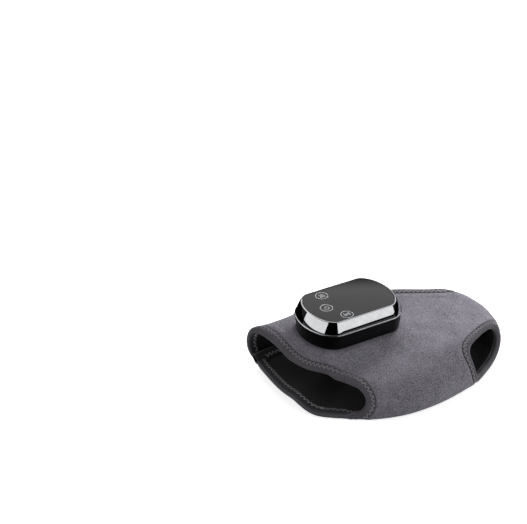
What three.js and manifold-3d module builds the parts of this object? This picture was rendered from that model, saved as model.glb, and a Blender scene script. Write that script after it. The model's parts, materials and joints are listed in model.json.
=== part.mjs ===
import * as THREE from 'three';
import { mergeVertices } from 'three/addons/utils/BufferGeometryUtils.js';
import Module from 'manifold-3d';

// Heated ankle massager: a wrap-on sleeve, lying on its side, with a detachable controller in a
// dock on its top. Millimetres, +Z up, standing on z = 0 with the origin under the middle of its
// bounding box. +X runs along the controller, and the foot opening faces -X and -Y.

// Clearances
const SEAT = 0.3; // between pieces that rest on each other or fit in each other
const OVERRUN = 1; // how far a cutting body runs past the face that it opens

// Sleeve as it lies
const SLEEVE_LENGTH = 218; // along X
const SLEEVE_DEPTH = 161; // along Y
const SLEEVE_HEIGHT = 49.4; // table to the flat under the dock

// Layers of the sleeve wall, from the outside in
const SHELL_THICKNESS = 2.4; // suede-faced foam
const FILM_THICKNESS = 0.6; // heating film, in a pocket
const LINING_THICKNESS = 1;

// Closure: the outer flap passes under the inner end of the wall
const FLAP_REACH = 72; // from the front fold to the end of the outer flap
const FLAP_RETREAT = 8; // how far the flap's foot side draws back under the sleeve
const HOOK_THICKNESS = 1;
const HOOK_WIDTH = 16;
const HOOK_MARGIN = 14; // from the flap's end to the hook strip
const NEST_GAP = 3; // between the outer flap and the layer that lies on it
const STEP_START = 2; // past the flap's end, where that layer starts to come down
const STEP_RUN = 22; // the length over which it comes down to the table

// Folded binding round every raw edge
const BINDING_WIDTH = 10.5;
const BINDING_THICKNESS = 1;
const BINDING_CORNER = 0.9; // chamfer of its folded edge
const BINDING_EASE = 0.12; // more room inside it, on the curved edges
const RECESS_RAMP = 0.5; // slope between the suede face and the pressed edge under the binding

// Foot opening: its two lips lie in front of the line between the folds
const LOWER_LIP_REACH = 28;
const UPPER_LIP_REACH = 5;

// Controller outline: straight sides with half-elliptical ends, measured at its glass
const GLASS_LENGTH = 86.6;
const GLASS_WIDTH = 57;
const GLASS_END = 17; // length of each elliptical end
const END_SPREAD_SHARE = 1.25; // the outline grows this much further at its ends than at its sides
const GLASS_THICKNESS = 1.3;

// Chrome bezel
const BEZEL_HEIGHT = 12.2;
const BEZEL_FLARE = 4.5; // how far its foot stands out past the glass
const BEZEL_BULGE = 0.48; // how far its side swells past a straight slope
const BEZEL_LAND = 0.9; // width of its bright rim
const BEZEL_PROUD = 0.3; // rim above the glass
const BEZEL_WALL = 2.4;
const BEZEL_LEDGE = 2; // shelf that carries the glass
const BEZEL_LEDGE_THICKNESS = 1.4;

// Lower housing of the controller, a black tub with a plug that drops into the dock
const BAND_HEIGHT = 6;
const BAND_TOP_FLARE = 4.4;
const BAND_FOOT_FLARE = 4.1;
const PLUG_FLARE = 1.3;
const HOUSING_WALL = 1.6;
const HOUSING_FLOOR = 1.6;
const BOSS_RADIUS = 3;
const BOSS_END_MARGIN = 12; // from the ends of the glass outline to the bosses
const BOSS_SIDE_MARGIN = 7.5; // and from its sides

// Dock tray on the sleeve
const TRAY_HEIGHT = 7.7;
const TRAY_FLOOR = 2.6;
const TRAY_FOOT_FLARE = 3.2;
const TRAY_TOP_FLARE = 4;

// Screws of the controller, driven from below
const SCREW_RADIUS = 1;
const SCREW_HEAD_RADIUS = 2;
const SCREW_HEAD_HEIGHT = 1.4;
const SCREW_BITE = 5.5; // length in the carrier's posts
const POST_RADIUS = 2.8;
const POST_CAP = 1.2; // solid top of a post over its bore

// Inside the controller
const BOARD_THICKNESS = 1;
const BOARD_INSET = 6; // main board's edge inside the glass outline
const CARRIER_THICKNESS = 1.6;
const KEY_BOARD_THICKNESS = 0.8;
const KEY_BOARD_INSET = 4.4;
const KEY_PAD_RADIUS = 4.5;
const DISPLAY_LENGTH = 20;
const DISPLAY_WIDTH = 12;
const DISPLAY_END_MARGIN = 18; // from the end of the glass outline
const BATTERY_HEIGHT = 6.2;
const BATTERY_END_MARGIN = 13; // from the other end of the glass outline
const BATTERY_SIDE_GAP = 1.5; // between the cell and the bosses beside it
const BATTERY_TO_MOTOR = 12; // from the cell to the motor's axis
const BATTERY_CORNER = 2;
const CHIP_SIDE = 8;
const CHIP_HEIGHT = 1.2;
const CHIP_END_MARGIN = 30; // from the end of the glass outline to the chip's middle
const PORT_WIDTH = 9;
const PORT_DEPTH = 7.4;
const PORT_HEIGHT = 3.2;
const PORT_WALL = 0.5;
const PORT_TONGUE = 0.8;
const PORT_TONGUE_WIDTH = 6;
const PORT_LIFT = 1.2; // the port's underside above the foot of the band

// Vibration motor with an eccentric weight
const MOTOR_RADIUS = 3.2;
const MOTOR_LENGTH = 16;
const MOTOR_END_MARGIN = 15; // from the end of the glass outline to the motor's axis
const MOTOR_SIDE_MARGIN = 12.1; // from the side of the glass outline to the motor's near end
const SHAFT_RADIUS = 0.6;
const SHAFT_LENGTH = 9;
const WEIGHT_RADIUS = 3;
const WEIGHT_LENGTH = 5;
const WEIGHT_HUB = 1.3;
const WEIGHT_GAP = 1.5; // from the can to the weight
const CRADLE_LENGTH = 10;
const CLAMP_THICKNESS = 0.8;
const CLAMP_LENGTH = 4;
const CLAMP_FOOT = 3;

// Power contacts and magnets between the dock and the controller
const PIN_RADIUS = 0.9;
const PIN_PITCH = 6;
const PIN_COUNT = 4;
const CONTACT_SIDE_MARGIN = 6; // from the side of the glass outline to the row of contacts
const PAD_RADIUS = 1.6;
const PAD_THICKNESS = 0.3;
const CONTACT_BOARD_LENGTH = 25;
const CONTACT_BOARD_WIDTH = 7;
const CONTACT_BOARD_THICKNESS = 0.7;
const MAGNET_RADIUS = 3.5;
const MAGNET_THICKNESS = 1.4;
const MAGNET_END_MARGIN = 6; // from the ends of the glass outline
const MAGNET_WALL = 0.9; // ring that locates a magnet on the housing's floor

// Plate inside the wall that the dock is riveted to
const BACKPLATE_LENGTH = 60;
const BACKPLATE_WIDTH = 38;
const BACKPLATE_CORNER = 6;
const BACKPLATE_Y = 2;
const RIVET_END_MARGIN = 6; // from the ends of the backplate
const RIVET_SIDE_MARGIN = 5; // and from its sides
const RIVET_RADIUS = 1.5;
const RIVET_HEAD_RADIUS = 2.6;
const RIVET_HEAD_HEIGHT = 0.7;

// Heater lead: a flat ribbon in the wall and a riser into the dock
const LEAD_WIDTH = 5;
const SENSOR_LENGTH = 5;
const SENSOR_WIDTH = 3;

// Heel opening
const HEEL_CUT_OUTSIDE = 7;
const HEEL_CUT_INSIDE = 10;

// Sizes that follow from these
const WALL = SHELL_THICKNESS + SEAT + FILM_THICKNESS + SEAT + LINING_THICKNESS;
const FILM_FACE = SHELL_THICKNESS + SEAT;
const LINING_FACE = FILM_FACE + FILM_THICKNESS + SEAT;
const LIFT = WALL + NEST_GAP;
const EDGE = BINDING_THICKNESS + SEAT + BINDING_EASE;
const BINDING_FACE = WALL + SEAT + BINDING_EASE;
const RECESS = BINDING_WIDTH + SEAT;

// Plan of the two folds, from the foot opening to the leg opening: place along the sleeve, then
// shares of its length and depth
const FRONT_FOLD_SHARES = [[0, 0, 0.975], [0.5, 0.128, 0.981], [0.8, 0.22, 0.997], [1, 0.284, 1.056]];
const BACK_FOLD_SHARES = [
  [0, 0.202, 0.149], [0.07, 0.312, 0.037], [0.2, 0.468, 0], [0.42, 0.702, 0.05], [0.56, 0.835, 0.13],
  [0.68, 0.936, 0.23], [0.78, 0.995, 0.36], [0.9, 0.995, 0.522], [1, 0.959, 0.634],
];

// Section of the sleeve, as shares of its height: place along the sleeve, then the share
const FRONT_EXTREME_SHARES = [[0, 0.506], [0.3, 0.526], [1, 0.486]];
const FRONT_UPPER_SHARES = [[0, 0.304], [0.3, 0.567], [1, 0.526]];
const FRONT_LOWER_SHARES = [[0, 0.526], [1, 0.486]];
const FRONT_TOP_SHARES = [[0, 0.931], [0.3, 0.951], [1, 0.931]];
const BACK_EXTREME_SHARES = [[0, 0.364], [0.3, 0.344], [0.68, 0.364], [1, 0.425]];
const BACK_UPPER_SHARES = [[0, 0.445], [0.3, 0.85], [0.55, 0.607], [0.75, 0.526], [1, 0.567]];
const BACK_LOWER_SHARES = [[0, 0.445], [0.3, 0.405], [0.68, 0.364], [1, 0.364]];
const BACK_TOP_SHARES = [[0, 0.749], [0.15, 0.81], [0.4, 0.931], [0.75, 0.951], [1, 1]];
const SAG_SHARES = [[0, -0.162], [0.1, -0.04], [0.22, 0.04], [0.6, 0.055], [1, 0.02]];
const LIP_FADE_SHARE = 0.3; // how far along the sleeve the lips' reach dies away
const LOWER_LIP_SKEW_SHARE = 1.35; // the lower lip reaches furthest towards the back fold
const INNER_END_ANGLE = THREE.MathUtils.degToRad(56); // how far the inner end climbs in the fold
const FOLD_TURN_SHARE = 0.8; // part of the last stretch that turns, before the hinge line
const FLAP_FLAT_SHARE = 0.6; // part of the stretch on the flap that lies level
const HINGE_INSET_SHARE = 1.4; // of the front fold's lower reach

// The controller's centre, as shares of the sleeve's length and depth
const DOCK_CENTRE_SHARES = [0.342, 0.618];
const PLATFORM_FLAT_SHARE = 1.1; // of the dock's outline: the wall is level as far as this
const PLATFORM_FALL_SHARE = 0.45; // and meets its own height this much further out
const LAYER_CLEAR_SHARE = 0.55; // of the height: only the layer above this is levelled
const LAYER_BLEND_SHARE = 0.2;

// Heel opening in the back fold: its middle and half-size, along the sleeve and round the wall
const HEEL_ALONG_SHARES = [0.579, 0.155];
const HEEL_ROUND_SHARES = [4.16, 0.51];
const HEEL_SQUARENESS_SHARE = 0.8; // 1 is an ellipse, less is squarer
const HEEL_STEPS = 24;

// Grid lines of the wall. Whole numbers end its stretches: inner end, on the flap, bottom,
// back fold below and above, top, front fold above and below
const STRETCH_CELLS = [1, 5, 2, 4, 5, 5, 4, 4];
const ALONG_CELLS = 8;
const LAST_STRETCH = STRETCH_CELLS.length - 1;
const STRIP_LINES = 2; // grid lines from an edge to the inner side of its binding
const HALF_CELL = 0.5;
const DERIVATIVE_SHARE = 0.001;
const WALK_STEPS = 5;
const HINGE_HOLD_SHARE = 1.5; // stretches over which walking frees itself from the hinge line

// Heating film and lead, in grid cells of the wall
const TOP_START = 5;
const FILM_ROUND_CELLS = 1.6;
const FILM_ALONG_CELLS = [2, 6];

const LEAD_SEARCH_SHARE = 0.02;

// Touch keys and their sensing pads, from the controller's centre, as shares of the room that
// the bezel's shelf leaves for a pad
const KEY_PLACE_SHARES = [[-0.468, 0.891], [-0.685, -0.066], [-0.418, -0.957]];
const KEY_NAMES = ['heat', 'power', 'vibration'];

// Steps and sides of round forms
const END_STEPS = 12; // each end of the controller's outline
const BEZEL_STEPS = 8; // the bezel's bulge
const BEZEL_HAUNCH_SHARE = 0.5; // of its height, where the wall starts to thicken to the shelf
const FLAP_STEPS = 8;
const ROUND_SIDES = 16;
const SMALL_SIDES = 12;
const HOLE_SIDES = 8;

const wasm = await Module();
wasm.setup();

const material = (name, color, roughness, metalness) =>
  Object.assign(new THREE.MeshStandardMaterial({ color, roughness, metalness }), { name });
const MATERIALS = {
  suede: material('grey suede facing', 0x84808a, 0.95, 0),
  lining: material('black knit lining', 0x131216, 0.95, 0),
  binding: material('dark grey binding', 0x4c4a4f, 0.85, 0),
  hook: material('black hook tape', 0x19181b, 0.9, 0),
  film: material('amber heating film', 0x9c6a2c, 0.45, 0),
  lead: material('black flat lead', 0x1b1b1d, 0.6, 0),
  sensor: material('sensor bead', 0x2e3a30, 0.4, 0),
  gloss: material('smoked glass', 0x24262a, 0.08, 0),
  chrome: material('chrome plating', 0xd9dadd, 0.07, 1),
  black: material('black moulding', 0x0d0c0f, 0.35, 0),
  carrier: material('white carrier moulding', 0xc9c9c6, 0.6, 0),
  board: material('green circuit board', 0x1f5a38, 0.5, 0),
  chip: material('chip package', 0x17181a, 0.5, 0),
  battery: material('battery pouch', 0xa9adb2, 0.35, 0.6),
  steel: material('bright steel', 0xb4b6b9, 0.3, 1),
  nickel: material('nickel plating', 0xc4c1b6, 0.2, 1),
  gold: material('gold plating', 0xc9a247, 0.25, 1),
  tungsten: material('tungsten weight', 0x6f7175, 0.45, 1),
  foam: material('conductive foam', 0x35363a, 0.9, 0),
  display: material('digit display', 0x1a1b1e, 0.3, 0),
};

const smooth = (share) => {
  const inside = THREE.MathUtils.clamp(share, 0, 1);
  return inside * inside * (3 - 2 * inside);
};
const mix = THREE.MathUtils.lerp;

// Smooth curve through the rows of a table: the first entry of a row is its place
function interpolate(rows, place) {
  const last = rows.length - 1;
  const at = THREE.MathUtils.clamp(place, rows[0][0], rows[last][0]);
  let row = 0;
  while (row < last - 1 && at > rows[row + 1][0]) row += 1;
  const span = rows[row + 1][0] - rows[row][0];
  const share = (at - rows[row][0]) / span;
  const slope = (index, column) => {
    const before = rows[Math.max(index - 1, 0)];
    const after = rows[Math.min(index + 1, last)];
    return ((after[column] - before[column]) / (after[0] - before[0])) * span;
  };
  return rows[row].slice(1).map((value, index) => {
    const column = index + 1;
    const next = rows[row + 1][column];
    const rise = share * share * (3 - 2 * share);
    const leave = share * (1 - share) ** 2 * slope(row, column);
    const arrive = share * share * (share - 1) * slope(row + 1, column);
    return mix(value, next, rise) + leave + arrive;
  });
}

const planPoint = (rows, along) => {
  const [x, y] = interpolate(rows, along);
  return new THREE.Vector2(x * SLEEVE_LENGTH, y * SLEEVE_DEPTH);
};
const height = (rows, along) => interpolate(rows, along)[0] * SLEEVE_HEIGHT;

// One cross-section of the sleeve, from its front fold to its back fold
function sectionAt(along) {
  const front = planPoint(FRONT_FOLD_SHARES, along);
  const across = planPoint(BACK_FOLD_SHARES, along).sub(front);
  const width = across.length();
  const towards = across.divideScalar(width);
  return {
    along,
    front,
    width,
    towards,
    outwards: new THREE.Vector2(towards.y, -towards.x),
    frontExtreme: height(FRONT_EXTREME_SHARES, along),
    frontUpper: height(FRONT_UPPER_SHARES, along),
    frontLower: height(FRONT_LOWER_SHARES, along),
    frontTop: height(FRONT_TOP_SHARES, along),
    backExtreme: height(BACK_EXTREME_SHARES, along),
    backUpper: height(BACK_UPPER_SHARES, along),
    backLower: height(BACK_LOWER_SHARES, along),
    backTop: height(BACK_TOP_SHARES, along),
    sag: height(SAG_SHARES, along),
  };
}

// Hinge line of the closure flap, straight in plan, just past the front fold's foot
const hingeEnds = [0, 1].map((along) => {
  const section = sectionAt(along);
  return section.front.clone().addScaledVector(section.towards, section.frontLower * HINGE_INSET_SHARE);
});
const hingeDirection = hingeEnds[1].clone().sub(hingeEnds[0]).normalize();
const hingeNormal = new THREE.Vector2(-hingeDirection.y, hingeDirection.x);

// How far in front of the line between the folds the wall lies, by its height and place
function lipReach(section, across, z) {
  const share = THREE.MathUtils.clamp(across / section.width, 0, 1);
  const high = smooth(z / section.frontTop);
  const bump = Math.sin(Math.PI * share ** mix(LOWER_LIP_SKEW_SHARE, 1, high));
  return mix(LOWER_LIP_REACH, UPPER_LIP_REACH, high) * bump;
}
const lipFade = (along) => Math.max(1 - along / LIP_FADE_SHARE, 0) ** 2;

// Distance from the front fold to the hinge line, for a wall shifted by reach
function hingeAcross(section, reach) {
  const start = section.front.clone().addScaledVector(section.outwards, reach);
  return hingeEnds[0].clone().sub(start).dot(hingeNormal) / section.towards.dot(hingeNormal);
}

// Outer face of the wall in its section: distance from the front fold, and height
function wallProfile(section, round) {
  const stretch = Math.min(Math.floor(round), LAST_STRETCH);
  const share = round - stretch;
  const turn = (share * Math.PI) / 2;
  const backFlat = section.width - section.backLower;
  const topStart = section.width - section.backUpper;
  const flapClear = FLAP_REACH + STEP_START;
  switch (stretch) {
    case 0: {
      const angle = INNER_END_ANGLE * (1 - share);
      const [sine, cosine] = [Math.sin(angle), Math.cos(angle)];
      const inward = new THREE.Vector2(sine * section.frontExtreme, cosine * section.frontLower);
      inward.setLength(LIFT);
      return [section.frontLower * (1 - sine) + inward.x, section.frontExtreme * (1 - cosine) + inward.y];
    }
    case 1: {
      if (share < FLAP_FLAT_SHARE) return [mix(section.frontLower, flapClear, share / FLAP_FLAT_SHARE), LIFT];
      const down = (share - FLAP_FLAT_SHARE) / (1 - FLAP_FLAT_SHARE);
      return [flapClear + STEP_RUN * down, LIFT * (1 - smooth(down))];
    }
    case 2:
      return [mix(flapClear + STEP_RUN, backFlat, share), 0];
    case 3:
      return [backFlat + section.backLower * Math.sin(turn), section.backExtreme * (1 - Math.cos(turn))];
    case 4: {
      const rise = section.backTop - section.backExtreme;
      return [topStart + section.backUpper * Math.cos(turn), section.backExtreme + rise * Math.sin(turn)];
    }
    case 5: {
      const level = mix(section.backTop, section.frontTop, smooth(share));
      const swell = section.sag * Math.sin(Math.PI * share) ** 2;
      return [mix(topStart, section.frontUpper, share), level + swell];
    }
    case 6: {
      const rise = section.frontTop - section.frontExtreme;
      return [section.frontUpper * (1 - Math.sin(turn)), section.frontExtreme + rise * Math.cos(turn)];
    }
    default: {
      const low = Math.min(share / FOLD_TURN_SHARE, 1) * (Math.PI / 2);
      return [section.frontLower * (1 - Math.cos(low)), section.frontExtreme * (1 - Math.sin(low))];
    }
  }
}

// The wall is level under the dock, and comes back to its own height a little way outside
const dockCentre = new THREE.Vector2(
  DOCK_CENTRE_SHARES[0] * SLEEVE_LENGTH,
  DOCK_CENTRE_SHARES[1] * SLEEVE_DEPTH,
);
function platformShare(x, y) {
  const straight = GLASS_LENGTH / 2 - GLASS_END;
  const end = GLASS_END + TRAY_FOOT_FLARE * END_SPREAD_SHARE;
  const beyond = Math.max(Math.abs(x - dockCentre.x) - straight, 0) / end;
  const beside = Math.abs(y - dockCentre.y) / (GLASS_WIDTH / 2 + TRAY_FOOT_FLARE);
  return 1 - smooth((Math.hypot(beyond, beside) - PLATFORM_FLAT_SHARE) / PLATFORM_FALL_SHARE);
}

// Point of the wall's outer face
function wallPoint(round, along) {
  const section = sectionAt(along);
  let [across, z] = wallProfile(section, round);
  let reach = lipReach(section, across, z);
  if (round > LAST_STRETCH) reach = mix(reach, -FLAP_RETREAT, smooth(round - LAST_STRETCH));
  reach *= lipFade(along);
  const last = round - LAST_STRETCH - FOLD_TURN_SHARE;
  if (last > 0) {
    const end = hingeAcross(section, reach) - SEAT / 2;
    across = mix(across, end, last / (1 - FOLD_TURN_SHARE));
  }
  const plan = section.front.clone().addScaledVector(section.towards, across);
  plan.addScaledVector(section.outwards, reach);
  const upper = smooth((z / SLEEVE_HEIGHT - LAYER_CLEAR_SHARE) / LAYER_BLEND_SHARE);
  z = mix(z, SLEEVE_HEIGHT, platformShare(plan.x, plan.y) * upper);
  return new THREE.Vector3(plan.x, plan.y, z);
}

// Changes of the wall's point round the wall and along the sleeve
function wallSlopes(round, along) {
  const before = [Math.max(round - DERIVATIVE_SHARE, 0), Math.max(along - DERIVATIVE_SHARE, 0)];
  const after = [
    Math.min(round + DERIVATIVE_SHARE, STRETCH_CELLS.length),
    Math.min(along + DERIVATIVE_SHARE, 1),
  ];
  const roundSlope = wallPoint(after[0], along).sub(wallPoint(before[0], along));
  const alongSlope = wallPoint(round, after[1]).sub(wallPoint(round, before[1]));
  return [roundSlope.divideScalar(after[0] - before[0]), alongSlope.divideScalar(after[1] - before[1])];
}
function wallInward(round, along) {
  const [roundSlope, alongSlope] = wallSlopes(round, along);
  return roundSlope.cross(alongSlope).normalize();
}

// Walks a distance along the sleeve, forwards or backwards, square to the wall's sections. The
// wall's inner end and its hinge line keep to their own lines
function walk(start, forwards, distance) {
  const place = { ...start };
  for (let step = 0; step < WALK_STEPS; step += 1) {
    const free = smooth(Math.min(place.round, (STRETCH_CELLS.length - place.round) / HINGE_HOLD_SHARE));
    const [roundSlope, alongSlope] = wallSlopes(place.round, place.along);
    const square = alongSlope.clone().projectOnPlane(roundSlope.clone().normalize());
    const change = (forwards * distance) / WALK_STEPS / square.length();
    place.round -= (free * change * alongSlope.dot(roundSlope)) / roundSlope.lengthSq();
    place.along += change;
  }
  return place;
}

// Change round the wall that moves one millimetre from its inner end
function endStep(along) {
  const [roundSlope, alongSlope] = wallSlopes(0, along);
  return alongSlope.length() / roundSlope.cross(alongSlope).length();
}

// Closed solid from rings of points. Neighbouring rings face each other point by point, and the
// ends are capped by the triangles of their outline in the plane of the section
function ringSolid(rings, outline = null, splitsRising = () => true) {
  const count = rings[0].length;
  const positions = rings.flat().flatMap((point) => point.toArray());
  const index = [];
  const spans = outline ? rings.length - 1 : rings.length;
  for (let ring = 0; ring < spans; ring += 1) {
    const [here, next] = [ring * count, ((ring + 1) % rings.length) * count];
    for (let point = 0; point < count; point += 1) {
      const after = (point + 1) % count;
      const [a, b, c, d] = [here + point, here + after, next + after, next + point];
      index.push(...(splitsRising(point, after) ? [a, b, c, a, c, d] : [a, b, d, b, c, d]));
    }
  }
  if (outline) {
    const end = (rings.length - 1) * count;
    const { isClockWise, triangulateShape } = THREE.ShapeUtils;
    for (const [a, b, c] of triangulateShape(outline, [])) {
      const agrees = isClockWise([outline[a], outline[b], outline[c]]) === isClockWise(outline);
      const [near, far] = agrees ? [c, b] : [b, c];
      index.push(a, near, far, end + a, end + far, end + near);
    }
  }
  const geometry = new THREE.BufferGeometry();
  geometry.setAttribute('position', new THREE.Float32BufferAttribute(positions, 3));
  geometry.setIndex(index);
  return outward(geometry);
}

function signedVolume(geometry) {
  const position = geometry.attributes.position;
  const index = geometry.index.array;
  const corners = [0, 1, 2].map(() => new THREE.Vector3());
  let volume = 0;
  for (let start = 0; start < index.length; start += 3) {
    corners.forEach((corner, place) => corner.fromBufferAttribute(position, index[start + place]));
    volume += corners[0].dot(corners[1].cross(corners[2]));
  }
  return volume;
}

// Turns a geometry's faces outwards
function outward(geometry) {
  if (signedVolume(geometry) > 0) return geometry;
  const index = geometry.index.array;
  for (let start = 0; start < index.length; start += 3) {
    [index[start + 1], index[start + 2]] = [index[start + 2], index[start + 1]];
  }
  return geometry;
}

function solid(geometry) {
  const bare = geometry.clone();
  bare.deleteAttribute('normal');
  bare.deleteAttribute('uv');
  const merged = mergeVertices(bare);
  return new wasm.Manifold(new wasm.Mesh({
    numProp: 3,
    vertProperties: new Float32Array(merged.attributes.position.array),
    triVerts: new Uint32Array(merged.index.array),
  }));
}

function shape(body) {
  const { numProp, vertProperties, triVerts } = body.getMesh();
  const positions = [];
  for (let start = 0; start < vertProperties.length; start += numProp) {
    positions.push(...vertProperties.slice(start, start + 3));
  }
  const geometry = new THREE.BufferGeometry();
  geometry.setAttribute('position', new THREE.Float32BufferAttribute(positions, 3));
  geometry.setIndex([...triVerts]);
  return geometry;
}

const join = (...geometries) => shape(geometries.map(solid).reduce((all, next) => all.add(next)));
const cut = (geometry, ...tools) =>
  shape(tools.map(solid).reduce((left, tool) => left.subtract(tool), solid(geometry)));

// Grid of wall points with their inward normals. Fractions of a cell are mixed from its corners
class WallGrid {
  constructor() {
    this.rounds = this.roundLines();
    const lines = this.rounds.map((line) => this.alongLines(line));
    this.points = lines.map((line, row) => line.map(({ point, inward }, column) => {
      const level = inward.clone().multiplyScalar(2);
      for (const beside of [lines[row - 1], lines[row + 1]]) level.add((beside ?? line)[column].inward);
      return { point, inward: row > STRIP_LINES + 1 ? level.normalize() : inward };
    }));
  }

  roundLines() {
    const lines = [EDGE, RECESS, RECESS + RECESS_RAMP].map((distance) => ({ distance }));
    STRETCH_CELLS.forEach((cells, stretch) => {
      for (let cell = 0; cell < cells; cell += 1) {
        if (stretch > 0) lines.push({ round: stretch + cell / cells });
      }
    });
    lines.push({ round: STRETCH_CELLS.length });
    return lines;
  }

  alongLines(line) {
    const roundAt = (along) => line.round ?? line.distance * endStep(along);
    const strip = (along, forwards) => {
      const edge = walk({ round: roundAt(along), along }, forwards, EDGE);
      const middle = walk(edge, forwards, (RECESS - EDGE) / 2);
      const recess = walk(middle, forwards, (RECESS - EDGE) / 2);
      const inward = this.inwardAt(line, middle);
      return [edge, recess, walk(recess, forwards, RECESS_RAMP)].map((place) => ({ ...place, inward }));
    };
    const [start, end] = [strip(0, 1), strip(1, -1).reverse()];
    const middle = [];
    for (let cell = 1; cell < ALONG_CELLS; cell += 1) {
      const share = cell / ALONG_CELLS;
      const along = mix(start[2].along, end[0].along, share);
      const shift = mix(start[2].round - roundAt(0), 0, share) * (1 - share) ** 2
        + mix(0, end[0].round - roundAt(1), share) * share ** 2;
      const place = { round: roundAt(along) + shift, along };
      middle.push({ ...place, inward: this.inwardAt(line, place) });
    }
    return [...start, ...middle, ...end].map(({ round, along, inward }) => (
      { point: wallPoint(round, along), inward }
    ));
  }

  // Normal at a place on a line: the strip at the inner end has one normal right across it
  inwardAt(line, { round, along }) {
    return wallInward(line.round === undefined ? endStep(along) * (EDGE + RECESS) / 2 : round, along);
  }

  get lastRound() {
    return this.points.length - 1;
  }

  get lastAlong() {
    return this.points[0].length - 1;
  }

  // Grid line of a place round the wall, past the inner end's own lines
  lineOf(round) {
    const stretch = Math.min(Math.floor(round), STRETCH_CELLS.length - 1);
    const first = this.rounds.findIndex((line) => line.round === stretch);
    return first + (round - stretch) * STRETCH_CELLS[stretch];
  }

  // Grid line of a share of the way along the sleeve
  columnOf(share) {
    return STRIP_LINES + share * ALONG_CELLS;
  }

  // Point on the facets of the grid, each cell split from its first corner to its last
  at(row, column, depth) {
    const rowLow = THREE.MathUtils.clamp(Math.floor(row), 0, this.lastRound - 1);
    const columnLow = THREE.MathUtils.clamp(Math.floor(column), 0, this.lastAlong - 1);
    const [a, b, c, d] = [[0, 0], [0, 1], [1, 0], [1, 1]].map(([rowStep, columnStep]) => {
      const { point, inward } = this.points[rowLow + rowStep][columnLow + columnStep];
      return point.clone().addScaledVector(inward, depth);
    });
    const twist = a.clone().add(d).sub(b).sub(c);
    const [rowShare, columnShare] = [row - rowLow, column - columnLow];
    const inside = [rowShare, columnShare].map((share) => THREE.MathUtils.clamp(share, 0, 1));
    const point = a.lerp(b, columnShare).lerp(c.lerp(d, columnShare), rowShare);
    return point.addScaledVector(twist, Math.min(...inside) - inside[0] * inside[1]);
  }

  // True under a binding, where the shell is pressed thin
  isPressed(row, column) {
    return row < STRIP_LINES || column < STRIP_LINES || column > this.lastAlong - STRIP_LINES;
  }

  // Slab between two depths over the given grid lines
  slab(rows, columns, outerDepth, innerDepth) {
    const positions = [];
    const index = [];
    const [wide, deep] = [columns.length, rows.length];
    for (const depth of [outerDepth, innerDepth]) {
      for (const row of rows) {
        for (const column of columns) positions.push(...this.at(row, column, depth(row, column)).toArray());
      }
    }
    const vertex = (layer, row, column) => (layer * deep + row) * wide + column;
    const quad = (a, b, c, d) => index.push(a, b, c, a, c, d);
    for (let row = 0; row < deep - 1; row += 1) {
      for (let column = 0; column < wide - 1; column += 1) {
        quad(...[[0, 0], [0, 1], [1, 1], [1, 0]].map(([i, j]) => vertex(0, row + i, column + j)));
        quad(...[[0, 0], [1, 0], [1, 1], [0, 1]].map(([i, j]) => vertex(1, row + i, column + j)));
      }
    }
    const rim = [];
    for (let column = 0; column < wide - 1; column += 1) rim.push([0, column]);
    for (let row = 0; row < deep - 1; row += 1) rim.push([row, wide - 1]);
    for (let column = wide - 1; column > 0; column -= 1) rim.push([deep - 1, column]);
    for (let row = deep - 1; row > 0; row -= 1) rim.push([row, 0]);
    rim.forEach(([row, column], place) => {
      const [nextRow, nextColumn] = rim[(place + 1) % rim.length];
      quad(
        vertex(0, row, column), vertex(1, row, column),
        vertex(1, nextRow, nextColumn), vertex(0, nextRow, nextColumn),
      );
    });
    const geometry = new THREE.BufferGeometry();
    geometry.setAttribute('position', new THREE.Float32BufferAttribute(positions, 3));
    geometry.setIndex(index);
    return outward(geometry);
  }
}

const range = (start, end) => Array.from({ length: end - start + 1 }, (unused, place) => start + place);

// Section of the folded binding: distance in from its folded edge, and depth in the wall
function bindingSection() {
  const innerSkin = BINDING_FACE + BINDING_THICKNESS;
  return [
    [BINDING_WIDTH, 0], [BINDING_CORNER, 0], [0, BINDING_CORNER], [0, innerSkin - BINDING_CORNER],
    [BINDING_CORNER, innerSkin], [BINDING_WIDTH, innerSkin], [BINDING_WIDTH, BINDING_FACE],
    [BINDING_THICKNESS, BINDING_FACE], [BINDING_THICKNESS, BINDING_THICKNESS],
    [BINDING_WIDTH, BINDING_THICKNESS],
  ].map(([distance, depth]) => new THREE.Vector2(distance, depth));
}

// Part of a grid cell for a distance from an edge, within the strip that the binding covers
const stripShare = (distance) => (distance - EDGE) / (RECESS - EDGE);

// Binding along an edge: each stop turns a distance from the edge and a depth into a point. The
// facets split as the wall's do, so that they lie parallel to them
function bindingSolid(stops, { closed = false, rising = true } = {}) {
  const section = bindingSection();
  const rings = stops.map((stop) => section.map(({ x, y }) => stop(x, y)));
  return ringSolid(rings, closed ? null : section, (point, after) => (
    (section[after].x >= section[point].x) === rising
  ));
}

// Stops along the foot and leg openings, past the inner end's own binding, and along that end
const footStops = (grid) => range(1, grid.lastRound).map((row) => (
  (distance, depth) => grid.at(row, stripShare(distance), depth)
));
const legStops = (grid) => range(1, grid.lastRound).map((row) => (
  (distance, depth) => grid.at(row, grid.lastAlong - stripShare(distance), depth)
));
function innerEndStops(grid) {
  const folded = stripShare(0);
  const columns = [folded, ...range(0, grid.lastAlong), grid.lastAlong - folded];
  return columns.map((column) => (distance, depth) => grid.at(stripShare(distance), column, depth));
}

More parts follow.
